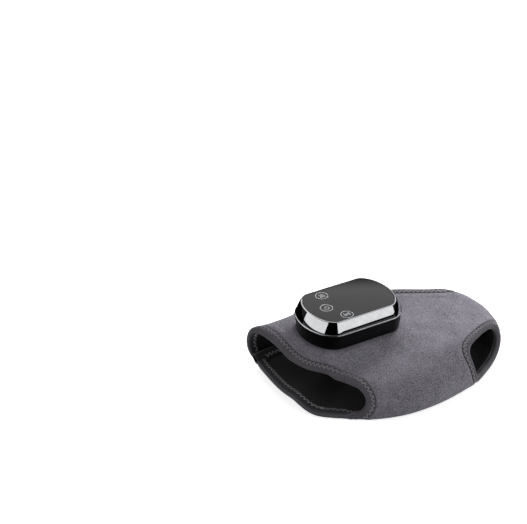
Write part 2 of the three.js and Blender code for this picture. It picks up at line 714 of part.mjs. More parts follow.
// Edge of the heel opening: a squared ellipse on the wall's grid
function heelStops(grid) {
  const power = (value) => Math.sign(value) * Math.abs(value) ** HEEL_SQUARENESS_SHARE;
  const columnMiddle = grid.columnOf(HEEL_ALONG_SHARES[0]);
  const columnHalf = HEEL_ALONG_SHARES[1] * ALONG_CELLS;
  const [low, high] = [-1, 1].map((side) => grid.lineOf(HEEL_ROUND_SHARES[0] + side * HEEL_ROUND_SHARES[1]));
  const [rowMiddle, rowHalf] = [(low + high) / 2, (high - low) / 2];
  return range(0, HEEL_STEPS - 1).map((step) => {
    const angle = (step / HEEL_STEPS) * Math.PI * 2;
    const [columnShare, rowShare] = [power(Math.cos(angle)), power(Math.sin(angle))];
    const [row, column] = [rowMiddle + rowHalf * rowShare, columnMiddle + columnHalf * columnShare];
    const [above, below] = [row + HALF_CELL, row - HALF_CELL].map((line) => grid.at(line, column, 0));
    const [before, after] = [column - HALF_CELL, column + HALF_CELL].map((line) => grid.at(row, line, 0));
    const [rowLength, columnLength] = [above.distanceTo(below), before.distanceTo(after)];
    const away = new THREE.Vector2(
      columnShare / (columnHalf * columnLength),
      rowShare / (rowHalf * rowLength),
    ).normalize();
    const [rowStep, columnStep] = [away.y / rowLength, away.x / columnLength];
    return (distance, depth) => grid.at(row + distance * rowStep, column + distance * columnStep, depth);
  });
}

// Body that cuts the wall inside the heel opening, at the given distances in from its edge
function heelCutter(grid, distances, levels) {
  const stops = heelStops(grid);
  const [count, layer] = [stops.length, distances.length * stops.length + 1];
  const positions = [];
  for (const level of levels) {
    for (const distance of distances) {
      for (const stop of stops) positions.push(...stop(distance, level).toArray());
    }
    const middle = [grid.lineOf(HEEL_ROUND_SHARES[0]), grid.columnOf(HEEL_ALONG_SHARES[0])];
    positions.push(...grid.at(...middle, level).toArray());
  }
  const index = [];
  const lastLayer = (levels.length - 1) * layer;
  const face = (a, b, c) => index.push(a, b, c, lastLayer + a, lastLayer + c, lastLayer + b);
  stops.forEach((stop, here) => {
    const next = (here + 1) % count;
    const rim = layer - 1 - count;
    for (let ring = 0; ring < rim; ring += count) {
      face(ring + here, ring + next, ring + count + next);
      face(ring + here, ring + count + next, ring + count + here);
    }
    face(rim + here, rim + next, layer - 1);
    for (let upper = 0; upper < lastLayer; upper += layer) {
      const lower = upper + layer;
      index.push(upper + here, lower + next, upper + next, upper + here, lower + here, lower + next);
    }
  });
  const geometry = new THREE.BufferGeometry();
  geometry.setAttribute('position', new THREE.Float32BufferAttribute(positions, 3));
  geometry.setIndex(index);
  return outward(geometry);
}

// Plan outline of the controller, grown by a distance, round its own centre
function outlinePoints(grow) {
  const straight = GLASS_LENGTH / 2 - GLASS_END;
  const points = [];
  for (const side of [1, -1]) {
    for (let step = 0; step <= END_STEPS; step += 1) {
      const angle = (step / END_STEPS - 0.5) * Math.PI;
      points.push(new THREE.Vector2(
        side * (straight + (GLASS_END + grow * END_SPREAD_SHARE) * Math.cos(angle)),
        side * (GLASS_WIDTH / 2 + grow) * Math.sin(angle),
      ));
    }
  }
  return points;
}
const outlineRing = (grow, z) => outlinePoints(grow).map(({ x, y }) => new THREE.Vector3(x, y, z));

// Block with the controller's outline, through levels of growth and height
const outlineBlock = (levels) =>
  ringSolid(levels.map(([grow, z]) => outlineRing(grow, z)), outlinePoints(0));

// Upright body with a plan outline
function prism(points, bottom, top) {
  const options = { depth: top - bottom, bevelEnabled: false };
  return new THREE.ExtrudeGeometry(new THREE.Shape(points), options).translate(0, 0, bottom);
}
function block(length, width, bottom, top, x = 0, y = 0) {
  return new THREE.BoxGeometry(length, width, top - bottom).translate(x, y, (bottom + top) / 2);
}
function post(radius, bottom, top, x = 0, y = 0, sides = ROUND_SIDES) {
  const geometry = new THREE.CylinderGeometry(radius, radius, top - bottom, sides);
  return geometry.rotateX(Math.PI / 2).translate(x, y, (bottom + top) / 2);
}
function roundedPlan(length, width, corner) {
  const [x, y] = [length / 2, width / 2];
  const plan = new THREE.Shape();
  plan.moveTo(-x + corner, -y).lineTo(x - corner, -y);
  plan.absarc(x - corner, -y + corner, corner, -Math.PI / 2, 0);
  plan.absarc(x - corner, y - corner, corner, 0, Math.PI / 2);
  plan.absarc(-x + corner, y - corner, corner, Math.PI / 2, Math.PI);
  plan.absarc(-x + corner, -y + corner, corner, Math.PI, Math.PI * 1.5);
  return plan.getPoints(4).slice(0, -1);
}
function turned(profile, sides) {
  const points = profile.map(([radius, z]) => new THREE.Vector2(radius, z));
  return new THREE.LatheGeometry(points, sides).rotateX(Math.PI / 2);
}

// Heights of the controller and dock, from the sleeve up
const trayBottom = SLEEVE_HEIGHT + SEAT;
const trayFloorTop = trayBottom + TRAY_FLOOR;
const trayTop = trayBottom + TRAY_HEIGHT;
const plugBottom = trayFloorTop + SEAT;
const floorTop = plugBottom + HOUSING_FLOOR;
const bandBottom = trayTop + SEAT;
const bandTop = bandBottom + BAND_HEIGHT;
const bezelBottom = bandTop + SEAT;
const bezelTop = bezelBottom + BEZEL_HEIGHT;
const glassTop = bezelTop - BEZEL_PROUD;
const glassBottom = glassTop - GLASS_THICKNESS;
const ledgeTop = glassBottom - SEAT;
const ledgeBottom = ledgeTop - BEZEL_LEDGE_THICKNESS;
const portBottom = bandBottom + PORT_LIFT;
const boardBottom = portBottom + PORT_HEIGHT + SEAT;
const boardTop = boardBottom + BOARD_THICKNESS;
const keyBoardBottom = ledgeBottom - KEY_BOARD_THICKNESS;
const keyBoardTop = keyBoardBottom + KEY_BOARD_THICKNESS;
const carrierTop = keyBoardBottom - SEAT;
const carrierBottom = carrierTop - CARRIER_THICKNESS;
const keyPadTop = glassBottom - SEAT;
const backplateTop = SLEEVE_HEIGHT - FILM_FACE;
const backplateBottom = backplateTop - FILM_THICKNESS;
const innerWallFlare = PLUG_FLARE - HOUSING_WALL;
const screwHeadTop = plugBottom + SEAT + SCREW_HEAD_HEIGHT;
const screwTop = Math.min(boardTop + SEAT + SCREW_BITE, carrierTop - POST_CAP - SEAT);

// Levels in the dock's floor
const magnetBottom = trayFloorTop - SEAT - MAGNET_THICKNESS;
const rivetHeadBottom = trayFloorTop - SEAT - RIVET_HEAD_HEIGHT;
const padTop = trayFloorTop;
const contactBoardTop = padTop - PAD_THICKNESS;
const contactBoardBottom = contactBoardTop - CONTACT_BOARD_THICKNESS;

// Places from the controller's centre
const bossX = GLASS_LENGTH / 2 - BOSS_END_MARGIN;
const bossY = GLASS_WIDTH / 2 - BOSS_SIDE_MARGIN;
const magnetPlaces = [-1, 1].map((side) => side * (GLASS_LENGTH / 2 - MAGNET_END_MARGIN));
const contactY = CONTACT_SIDE_MARGIN - GLASS_WIDTH / 2;
const motorX = GLASS_LENGTH / 2 - MOTOR_END_MARGIN;
const motorStartY = MOTOR_SIDE_MARGIN - GLASS_WIDTH / 2;
const motorY = motorStartY + MOTOR_LENGTH / 2;
const motorHeight = floorTop + SEAT + MOTOR_RADIUS;
const portY = GLASS_WIDTH / 2 + BAND_FOOT_FLARE - PORT_DEPTH / 2;
const rivetX = BACKPLATE_LENGTH / 2 - RIVET_END_MARGIN;
const rivetY = BACKPLATE_WIDTH / 2 - RIVET_SIDE_MARGIN;

const pinPlaces = range(0, PIN_COUNT - 1).map((place) => (place - (PIN_COUNT - 1) / 2) * PIN_PITCH);
const rivetPlaces = [-1, 1].flatMap((x) => [-1, 1].map((y) => [x * rivetX, BACKPLATE_Y + y * rivetY]));
const bossPlaces = [-1, 1].flatMap((x) => [-1, 1].map((y) => [x * bossX, y * bossY]));

const part = new THREE.Group();
const sleeve = new THREE.Group();
const dock = new THREE.Group();
const controller = new THREE.Group();
dock.position.set(dockCentre.x, dockCentre.y, 0);
controller.position.copy(dock.position);
part.add(sleeve, dock, controller);

function add(parent, name, geometry, finish) {
  geometry.computeVertexNormals();
  const mesh = new THREE.Mesh(geometry, finish.clone());
  mesh.name = name;
  mesh.material.name = `${name} ${finish.name}`;
  parent.add(mesh);
  return mesh;
}

// Sleeve wall: shell, film, lead and lining share the wall's grid, so that their faces stay parallel
function buildWall(grid) {
  const rows = range(0, grid.lastRound);
  const columns = range(0, grid.lastAlong);
  const level = (depth) => () => depth;
  const toDock = (geometry) => geometry.translate(dockCentre.x, dockCentre.y, 0);
  const shellFace = (row, column) => (grid.isPressed(row, column) ? EDGE : 0);
  const through = heelCutter(grid, [EDGE], [-HEEL_CUT_OUTSIDE, EDGE, WALL, HEEL_CUT_INSIDE]);
  const recess = heelCutter(grid, [RECESS, EDGE], [-HEEL_CUT_OUTSIDE, EDGE]);
  const rivetHoles = rivetPlaces.map(([x, y]) =>
    toDock(post(RIVET_RADIUS + SEAT, backplateTop, trayBottom + OVERRUN, x, y, HOLE_SIDES)));
  const leadHole = toDock(block(
    LEAD_WIDTH + 2 * SEAT, LEAD_WIDTH / 2 + 2 * SEAT, backplateTop, trayBottom + OVERRUN, 0, contactY,
  ));
  const shell = grid.slab(rows, columns, shellFace, level(SHELL_THICKNESS));
  add(sleeve, 'outer_shell', cut(shell, recess, through, ...rivetHoles, leadHole), MATERIALS.suede);
  const lining = grid.slab(rows, columns, level(LINING_FACE), level(WALL));
  add(sleeve, 'lining', cut(lining, through), MATERIALS.lining);

  const filmStart = grid.lineOf(TOP_START);
  const filmEnd = filmStart + FILM_ROUND_CELLS;
  const [firstColumn, lastColumn] = FILM_ALONG_CELLS.map((cell) => cell + STRIP_LINES);
  const filmLevels = [level(FILM_FACE), level(FILM_FACE + FILM_THICKNESS)];
  const filmRows = [...range(filmStart, Math.floor(filmEnd)), filmEnd];
  const film = grid.slab(filmRows, range(firstColumn, lastColumn), ...filmLevels);
  add(sleeve, 'heating_film', film, MATERIALS.film);
  return { filmEnd, filmLevels };
}

function buildBindings(grid) {
  add(sleeve, 'foot_binding', bindingSolid(footStops(grid)), MATERIALS.binding);
  add(sleeve, 'leg_binding', bindingSolid(legStops(grid), { rising: false }), MATERIALS.binding);
  add(sleeve, 'inner_end_binding', bindingSolid(innerEndStops(grid)), MATERIALS.binding);
  const heel = bindingSolid(heelStops(grid), { closed: true, rising: false });
  add(sleeve, 'heel_binding', heel, MATERIALS.binding);
}

// Closure flap, flat under the sleeve. Its plan is drawn in from the foot, end and leg sides
function flapPlan(inset) {
  const point = (share, alongEdge, endInset) => {
    const section = sectionAt(alongEdge);
    const reach = -FLAP_RETREAT * lipFade(alongEdge);
    const start = hingeAcross(section, reach) + SEAT / 2;
    const across = mix(start, FLAP_REACH - endInset, share);
    const plan = section.front.clone().addScaledVector(section.towards, across);
    return plan.addScaledVector(section.outwards, reach);
  };
  const sideLength = point(1, 0, 0).distanceTo(point(1, 1, 0));
  const hingeLength = point(0, 0, 0).distanceTo(point(0, 1, 0));
  const sideAt = (share, edge) => {
    const step = inset / mix(hingeLength, sideLength, share);
    return point(share, edge === 0 ? step : 1 - step, inset);
  };
  const points = range(0, 2).map((place) => sideAt(place / 2, 0));
  const [low, high] = [inset / sideLength, 1 - inset / sideLength];
  for (let step = 1; step < FLAP_STEPS; step += 1) {
    points.push(point(1, mix(low, high, step / FLAP_STEPS), inset));
  }
  return [...points, ...range(0, 2).map((place) => sideAt(1 - place / 2, 1))];
}

function buildFlap() {
  const flap = new THREE.Group();
  part.add(flap);
  const bindingTop = BINDING_FACE + BINDING_THICKNESS;
  const outer = prism(flapPlan(0), 0, bindingTop);
  const window = prism(flapPlan(BINDING_WIDTH), -OVERRUN, BINDING_THICKNESS + OVERRUN);
  const innerWindow = prism(flapPlan(BINDING_WIDTH), WALL, bindingTop + OVERRUN);
  const channel = prism(flapPlan(BINDING_THICKNESS), BINDING_THICKNESS, BINDING_FACE);
  const shell = join(
    prism(flapPlan(EDGE), EDGE, SHELL_THICKNESS),
    prism(flapPlan(RECESS), 0, SHELL_THICKNESS),
  );
  add(flap, 'flap_shell', shell, MATERIALS.suede);
  add(flap, 'flap_lining', prism(flapPlan(EDGE), FILM_FACE, WALL), MATERIALS.lining);
  add(flap, 'flap_binding', cut(outer, window, innerWindow, channel), MATERIALS.binding);

  const plan = flapPlan(HOOK_MARGIN);
  const [footHinge, legHinge] = [plan[0], plan[plan.length - 1]];
  const [footEnd, legEnd] = [plan[2], plan[plan.length - 3]];
  const back = (end, hinge) => end.clone().lerp(hinge, HOOK_WIDTH / end.distanceTo(hinge));
  const stripPlan = [back(footEnd, footHinge), ...plan.slice(2, -2), back(legEnd, legHinge)];
  const strip = prism(stripPlan, WALL + SEAT, WALL + SEAT + HOOK_THICKNESS);
  add(flap, 'hook_strip', strip, MATERIALS.hook);
}

function buildDock() {
  const cavity = outlineBlock([[PLUG_FLARE + SEAT, trayFloorTop], [PLUG_FLARE + SEAT, trayTop + OVERRUN]]);
  const body = outlineBlock([[TRAY_FOOT_FLARE, trayBottom], [TRAY_TOP_FLARE, trayTop]]);
  const magnetPockets = magnetPlaces.map((x) =>
    post(MAGNET_RADIUS + SEAT, magnetBottom - SEAT, trayFloorTop + OVERRUN, x));
  const rivetPockets = rivetPlaces.flatMap(([x, y]) => [
    post(RIVET_HEAD_RADIUS + SEAT, rivetHeadBottom - SEAT, trayFloorTop + OVERRUN, x, y),
    post(RIVET_RADIUS + SEAT, trayBottom - OVERRUN, trayFloorTop, x, y, HOLE_SIDES),
  ]);
  const boardPocket = block(
    CONTACT_BOARD_LENGTH + 2 * SEAT, CONTACT_BOARD_WIDTH + 2 * SEAT,
    contactBoardBottom - SEAT, trayFloorTop + OVERRUN, 0, contactY,
  );
  const leadSlot = block(
    LEAD_WIDTH + 2 * SEAT, LEAD_WIDTH / 2 + 2 * SEAT, trayBottom - OVERRUN, trayFloorTop, 0, contactY,
  );
  const tray = cut(body, cavity, ...magnetPockets, ...rivetPockets, boardPocket, leadSlot);
  add(dock, 'dock_tray', tray, MATERIALS.black);

  const plan = roundedPlan(BACKPLATE_LENGTH, BACKPLATE_WIDTH, BACKPLATE_CORNER);
  const plate = prism(plan, backplateBottom, backplateTop).translate(0, BACKPLATE_Y, 0);
  const plateHoles = rivetPlaces.map(([x, y]) =>
    post(RIVET_RADIUS + SEAT, backplateBottom - OVERRUN, backplateTop + OVERRUN, x, y, HOLE_SIDES));
  add(dock, 'dock_backplate', cut(plate, ...plateHoles), MATERIALS.steel);

  const rivetProfile = [
    [0, backplateBottom], [RIVET_RADIUS, backplateBottom], [RIVET_RADIUS, rivetHeadBottom],
    [RIVET_HEAD_RADIUS, rivetHeadBottom], [RIVET_HEAD_RADIUS, rivetHeadBottom + RIVET_HEAD_HEIGHT / 2],
    [RIVET_RADIUS, rivetHeadBottom + RIVET_HEAD_HEIGHT], [0, rivetHeadBottom + RIVET_HEAD_HEIGHT],
  ];
  rivetPlaces.forEach(([x, y], place) => {
    const rivet = turned(rivetProfile, SMALL_SIDES).translate(x, y, 0);
    add(dock, `dock_rivet_${place + 1}`, rivet, MATERIALS.steel);
  });
  const contactBoard = block(
    CONTACT_BOARD_LENGTH, CONTACT_BOARD_WIDTH, contactBoardBottom, contactBoardTop, 0, contactY,
  );
  add(dock, 'contact_board', contactBoard, MATERIALS.board);
  pinPlaces.forEach((x, place) => {
    const pad = post(PAD_RADIUS, contactBoardTop, padTop, x, contactY, SMALL_SIDES);
    add(dock, `contact_pad_${place + 1}`, pad, MATERIALS.gold);
  });
  magnetPlaces.forEach((x, place) => {
    const magnet = post(MAGNET_RADIUS, magnetBottom, magnetBottom + MAGNET_THICKNESS, x);
    add(dock, `dock_magnet_${place + 1}`, magnet, MATERIALS.nickel);
  });
}

// Lead: a ribbon in the film's layer from the film to the dock, and its riser to the contacts
function buildLead(grid, { filmEnd, filmLevels }) {
  const riser = new THREE.Vector2(dockCentre.x, dockCentre.y + contactY);
  let nearest = { distance: Infinity };
  for (let row = filmEnd; row < grid.lineOf(TOP_START + 1); row += LEAD_SEARCH_SHARE) {
    for (let column = STRIP_LINES; column < grid.lastAlong - STRIP_LINES; column += LEAD_SEARCH_SHARE) {
      const point = grid.at(row, column, 0);
      const distance = Math.hypot(point.x - riser.x, point.y - riser.y);
      if (distance < nearest.distance) nearest = { distance, row, column };
    }
  }
  const cell = Math.floor(nearest.column);
  const cellLength = grid.at(nearest.row, cell, 0).distanceTo(grid.at(nearest.row, cell + 1, 0));
  const rowLength = grid.at(filmEnd, nearest.column, 0).distanceTo(grid.at(filmEnd + 1, nearest.column, 0));
  const half = LEAD_WIDTH / 2 / cellLength;
  const columns = [nearest.column - half, nearest.column + half];
  const between = range(Math.ceil(filmEnd), Math.floor(nearest.row));
  const rows = [filmEnd + SEAT / rowLength, ...between, nearest.row];
  const ribbon = grid.slab(rows, columns, ...filmLevels);
  const sink = FILM_THICKNESS / 2;
  const upright = block(
    LEAD_WIDTH, LEAD_WIDTH / 2, backplateTop - sink, contactBoardBottom - SEAT, riser.x, riser.y,
  );
  add(sleeve, 'heater_lead', join(ribbon, upright), MATERIALS.lead);

  const sensorRow = filmEnd + SEAT / rowLength;
  const sensorColumn = nearest.column + half + (SEAT + SENSOR_LENGTH) / cellLength;
  const sensor = grid.slab(
    [sensorRow, sensorRow + SENSOR_WIDTH / rowLength],
    [sensorColumn, sensorColumn + SENSOR_LENGTH / cellLength],
    ...filmLevels,
  );
  add(sleeve, 'temperature_sensor', sensor, MATERIALS.sensor);
}
function buildBezel() {
  const arc = range(0, BEZEL_STEPS).map((step) => {
    const share = step / BEZEL_STEPS;
    const bulge = 4 * BEZEL_BULGE * share * (1 - share);
    return [BEZEL_FLARE * (1 - share) + bulge, bezelBottom + BEZEL_HEIGHT * share];
  });
  const inner = BEZEL_FLARE - BEZEL_WALL;
  const profile = [
    ...arc, [-BEZEL_LAND, bezelTop], [-BEZEL_LAND, ledgeTop], [-BEZEL_LAND - BEZEL_LEDGE, ledgeTop],
    [-BEZEL_LAND - BEZEL_LEDGE, ledgeBottom], [-BEZEL_LAND, ledgeBottom],
    [inner, mix(bezelBottom, ledgeBottom, BEZEL_HAUNCH_SHARE)], [inner, bezelBottom],
  ];
  return ringSolid(profile.map(([grow, z]) => outlineRing(grow, z)));
}

function buildLowerHousing() {
  const body = join(
    outlineBlock([[PLUG_FLARE, plugBottom], [PLUG_FLARE, bandBottom + OVERRUN]]),
    outlineBlock([[BAND_FOOT_FLARE, bandBottom], [BAND_TOP_FLARE, bandTop]]),
  );
  const cavity = outlineBlock([[innerWallFlare, floorTop], [innerWallFlare, bandTop + OVERRUN]]);
  const cradle = block(
    2 * (MOTOR_RADIUS + CLAMP_THICKNESS), CRADLE_LENGTH,
    floorTop - SEAT, motorHeight - MOTOR_RADIUS / 3, motorX, motorY,
  );
  const motorSpace = new THREE.CylinderGeometry(
    MOTOR_RADIUS + SEAT, MOTOR_RADIUS + SEAT, MOTOR_LENGTH + 2 * OVERRUN, ROUND_SIDES,
  ).translate(motorX, motorY, motorHeight);
  const bosses = bossPlaces.map(([x, y]) =>
    post(BOSS_RADIUS, floorTop - SEAT, boardBottom - SEAT, x, y, SMALL_SIDES));
  const magnetRings = magnetPlaces.map((x) => cut(
    post(MAGNET_RADIUS + SEAT + MAGNET_WALL, floorTop - SEAT, floorTop + MAGNET_THICKNESS, x),
    post(MAGNET_RADIUS + SEAT, floorTop - SEAT - OVERRUN, floorTop + MAGNET_THICKNESS + OVERRUN, x),
  ));
  const screwBores = bossPlaces.flatMap(([x, y]) => [
    post(SCREW_RADIUS + SEAT, plugBottom - OVERRUN, boardBottom + OVERRUN, x, y, SMALL_SIDES),
    post(SCREW_HEAD_RADIUS + SEAT, plugBottom - OVERRUN, screwHeadTop + SEAT, x, y, SMALL_SIDES),
  ]);
  const pinHoles = pinPlaces.map((x) =>
    post(PIN_RADIUS + SEAT, plugBottom - OVERRUN, floorTop + OVERRUN, x, contactY, HOLE_SIDES));
  const portHole = block(
    PORT_WIDTH + 2 * SEAT, PORT_DEPTH + 2 * OVERRUN, portBottom - SEAT, portBottom + PORT_HEIGHT + SEAT,
    0, portY,
  );
  const tub = join(cut(body, cavity), cut(cradle, motorSpace), ...bosses, ...magnetRings);
  return cut(tub, ...screwBores, ...pinHoles, portHole);
}

function buildPort() {
  const corner = PORT_HEIGHT / 2 - PORT_WALL / 4;
  const shell = new THREE.Shape(roundedPlan(PORT_WIDTH, PORT_HEIGHT, corner));
  const body = new THREE.ExtrudeGeometry(shell, { depth: PORT_DEPTH, bevelEnabled: false });
  const hollow = new THREE.Shape(roundedPlan(
    PORT_WIDTH - 2 * PORT_WALL, PORT_HEIGHT - 2 * PORT_WALL, corner - PORT_WALL,
  ));
  const space = new THREE.ExtrudeGeometry(hollow, { depth: PORT_DEPTH, bevelEnabled: false });
  const tongue = new THREE.BoxGeometry(PORT_TONGUE_WIDTH, PORT_TONGUE, PORT_DEPTH - PORT_WALL)
    .translate(0, 0, (PORT_DEPTH - PORT_WALL) / 2);
  const port = join(cut(body, space.translate(0, 0, PORT_WALL)), tongue);
  return port.rotateX(-Math.PI / 2).translate(0, portY - PORT_DEPTH / 2, portBottom + PORT_HEIGHT / 2);
}

function buildMotor() {
  const place = (geometry, y) => geometry.translate(motorX, y, motorHeight);
  const can = new THREE.CylinderGeometry(MOTOR_RADIUS, MOTOR_RADIUS, MOTOR_LENGTH, ROUND_SIDES);
  const shaftStart = motorStartY + MOTOR_LENGTH + SEAT;
  add(controller, 'motor_can', place(can, motorY), MATERIALS.steel);
  const shaft = new THREE.CylinderGeometry(SHAFT_RADIUS, SHAFT_RADIUS, SHAFT_LENGTH, SMALL_SIDES);
  add(controller, 'motor_shaft', place(shaft, shaftStart + SHAFT_LENGTH / 2), MATERIALS.steel);

  const sector = new THREE.Shape();
  sector.absarc(0, 0, WEIGHT_RADIUS, Math.PI, Math.PI * 2);
  const rim = sector.getPoints(8);
  const hub = new THREE.Shape();
  hub.absarc(0, 0, WEIGHT_HUB, 0, Math.PI);
  const outline = new THREE.Shape([...rim, ...hub.getPoints(5)]);
  const bore = new THREE.Path();
  bore.absarc(0, 0, SHAFT_RADIUS + SEAT, 0, Math.PI * 2, true);
  outline.holes.push(bore);
  const weightOptions = { depth: WEIGHT_LENGTH, bevelEnabled: false, curveSegments: 6 };
  const weight = new THREE.ExtrudeGeometry(outline, weightOptions).rotateX(Math.PI / 2);
  add(controller, 'motor_weight', place(weight, shaftStart + WEIGHT_GAP + WEIGHT_LENGTH), MATERIALS.tungsten);

  const inner = MOTOR_RADIUS + SEAT;
  const outer = inner + CLAMP_THICKNESS;
  const footEnd = outer + CLAMP_FOOT;
  const footBottom = -MOTOR_RADIUS;
  const footTop = footBottom + CLAMP_THICKNESS;
  const strap = new THREE.Shape();
  strap.moveTo(footEnd, footBottom).lineTo(footEnd, footTop).lineTo(outer, footTop).lineTo(outer, 0);
  strap.absarc(0, 0, outer, 0, Math.PI);
  strap.lineTo(-outer, footTop).lineTo(-footEnd, footTop).lineTo(-footEnd, footBottom);
  strap.lineTo(-inner, footBottom).lineTo(-inner, 0);
  strap.absarc(0, 0, inner, Math.PI, 0, true);
  strap.lineTo(inner, footBottom);
  const clampOptions = { depth: CLAMP_LENGTH, bevelEnabled: false, curveSegments: 8 };
  const clamp = new THREE.ExtrudeGeometry(strap, clampOptions).rotateX(Math.PI / 2);
  const clampEnd = motorStartY + (MOTOR_LENGTH - CRADLE_LENGTH) / 2 - SEAT;
  add(controller, 'motor_clamp', place(clamp, clampEnd), MATERIALS.steel);
}

function buildController() {
  const glass = outlineBlock([[-BEZEL_LAND - SEAT, glassBottom], [-BEZEL_LAND - SEAT, glassTop]]);
  add(controller, 'touch_panel', glass, MATERIALS.gloss);
  add(controller, 'chrome_bezel', buildBezel(), MATERIALS.chrome);
  add(controller, 'lower_housing', buildLowerHousing(), MATERIALS.black);
  add(controller, 'usb_c_port', buildPort(), MATERIALS.nickel);

  const bores = (bottom, top) =>
    bossPlaces.map(([x, y]) => post(SCREW_RADIUS + SEAT, bottom, top, x, y, SMALL_SIDES));
  const plate = outlineBlock([[-BOARD_INSET, boardBottom], [-BOARD_INSET, boardTop]]);
  const board = cut(plate, ...bores(boardBottom - OVERRUN, boardTop + OVERRUN));
  add(controller, 'main_board', board, MATERIALS.board);
  const posts = bossPlaces.map(([x, y]) =>
    post(POST_RADIUS, boardTop + SEAT, carrierBottom + CARRIER_THICKNESS / 2, x, y, SMALL_SIDES));
  const carrierPlate = outlineBlock([[-KEY_BOARD_INSET, carrierBottom], [-KEY_BOARD_INSET, carrierTop]]);
  const carrier = cut(join(carrierPlate, ...posts), ...bores(boardTop, screwTop + SEAT));
  add(controller, 'carrier_frame', carrier, MATERIALS.carrier);
  const screwProfile = [
    [0, plugBottom + SEAT], [SCREW_HEAD_RADIUS, plugBottom + SEAT], [SCREW_HEAD_RADIUS, screwHeadTop],
    [SCREW_RADIUS, screwHeadTop], [SCREW_RADIUS, screwTop], [0, screwTop],
  ];
  bossPlaces.forEach(([x, y], place) => {
    const screw = turned(screwProfile, SMALL_SIDES).translate(x, y, 0);
    add(controller, `housing_screw_${place + 1}`, screw, MATERIALS.steel);
  });

  const keyPlate = outlineBlock([[-KEY_BOARD_INSET, keyBoardBottom], [-KEY_BOARD_INSET, keyBoardTop]]);
  add(controller, 'key_board', keyPlate, MATERIALS.board);
  const border = BEZEL_LAND + BEZEL_LEDGE + KEY_PAD_RADIUS;
  KEY_PLACE_SHARES.forEach(([xShare, yShare], place) => {
    const x = xShare * (GLASS_LENGTH / 2 - border);
    const y = yShare * (GLASS_WIDTH / 2 - border);
    const pad = post(KEY_PAD_RADIUS, keyBoardTop + SEAT, keyPadTop, x, y);
    add(controller, `${KEY_NAMES[place]}_key_pad`, pad, MATERIALS.foam);
  });
  const displayX = (GLASS_LENGTH - DISPLAY_LENGTH) / 2 - DISPLAY_END_MARGIN;
  const display = block(DISPLAY_LENGTH, DISPLAY_WIDTH, keyBoardTop + SEAT, keyPadTop, displayX);
  add(controller, 'digit_display', display, MATERIALS.display);
  const chipX = CHIP_END_MARGIN - GLASS_LENGTH / 2;
  const chip = block(CHIP_SIDE, CHIP_SIDE, boardTop + SEAT, boardTop + SEAT + CHIP_HEIGHT, chipX);
  add(controller, 'control_chip', chip, MATERIALS.chip);
  const [cellStart, cellEnd] = [BATTERY_END_MARGIN - GLASS_LENGTH / 2, motorX - BATTERY_TO_MOTOR];
  const cellWidth = 2 * (bossY - BOSS_RADIUS - BATTERY_SIDE_GAP);
  const cellPlan = roundedPlan(cellEnd - cellStart, cellWidth, BATTERY_CORNER);
  const cell = prism(cellPlan, floorTop + SEAT, floorTop + SEAT + BATTERY_HEIGHT);
  add(controller, 'battery_cell', cell.translate((cellStart + cellEnd) / 2, 0, 0), MATERIALS.battery);
  buildMotor();
  pinPlaces.forEach((x, place) => {
    const pin = post(PIN_RADIUS, padTop + SEAT, boardBottom - SEAT, x, contactY, HOLE_SIDES);
    add(controller, `contact_pin_${place + 1}`, pin, MATERIALS.gold);
  });
  magnetPlaces.forEach((x, place) => {
    const magnet = post(MAGNET_RADIUS, floorTop + SEAT, floorTop + SEAT + MAGNET_THICKNESS, x);
    add(controller, `controller_magnet_${place + 1}`, magnet, MATERIALS.nickel);
  });
}

const grid = new WallGrid();
const film = buildWall(grid);
buildBindings(grid);
buildFlap();
buildDock();
buildLead(grid, film);
buildController();

// The origin is under the middle of the bounding box
const box = new THREE.Box3().setFromObject(part);
const middle = box.getCenter(new THREE.Vector3());
part.position.set(-middle.x, -middle.y, -box.min.z);

export default part;
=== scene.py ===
"""Heated ankle massager: a suede sleeve lying on its side, with its controller in a dock on top."""

import json
import logging
import math
from dataclasses import dataclass, field
from enum import Enum
from functools import cached_property
from typing import Any, Sequence

import bmesh
import bpy
import numpy as np
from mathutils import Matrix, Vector
from mathutils.geometry import delaunay_2d_cdt


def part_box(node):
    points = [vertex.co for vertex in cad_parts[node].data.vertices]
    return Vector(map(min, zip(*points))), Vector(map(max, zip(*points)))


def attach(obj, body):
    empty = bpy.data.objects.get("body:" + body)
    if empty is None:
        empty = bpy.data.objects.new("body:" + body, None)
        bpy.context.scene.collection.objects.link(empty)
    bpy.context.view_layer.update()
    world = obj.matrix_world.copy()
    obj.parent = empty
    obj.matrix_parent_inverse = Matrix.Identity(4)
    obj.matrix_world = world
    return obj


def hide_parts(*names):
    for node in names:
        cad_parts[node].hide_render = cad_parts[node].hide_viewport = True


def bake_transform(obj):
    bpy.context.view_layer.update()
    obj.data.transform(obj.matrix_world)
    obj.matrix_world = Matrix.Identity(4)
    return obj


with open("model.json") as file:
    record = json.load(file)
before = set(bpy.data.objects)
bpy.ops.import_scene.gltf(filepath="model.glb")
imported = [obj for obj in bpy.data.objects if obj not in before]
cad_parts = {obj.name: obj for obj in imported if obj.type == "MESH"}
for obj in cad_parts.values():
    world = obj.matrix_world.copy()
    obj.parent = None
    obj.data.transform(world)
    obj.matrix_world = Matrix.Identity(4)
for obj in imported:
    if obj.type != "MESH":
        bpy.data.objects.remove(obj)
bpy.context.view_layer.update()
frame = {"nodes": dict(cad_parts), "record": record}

LOG = logging.getLogger("ankle_massager")

Piece = bpy.types.Object
Pair = tuple[float, float]
Triple = tuple[float, float, float]
Rows = Sequence[Sequence[float]]
Places = tuple[np.ndarray, np.ndarray]

# Places round the wall: the front fold's foot, and where the flap starts and ends.
FOLD_FOOT, FLAP_START, FLAP_END = 7, 8, 9
# The line whose normals serve a whole bound strip, by its distance from the edge.
NORMAL_LINE = 0.0053
CLOTH_SMOOTH_ANGLE = math.radians(50)
MOULDED_SMOOTH_ANGLE = math.radians(32)
WELD_DISTANCE = 1e-6
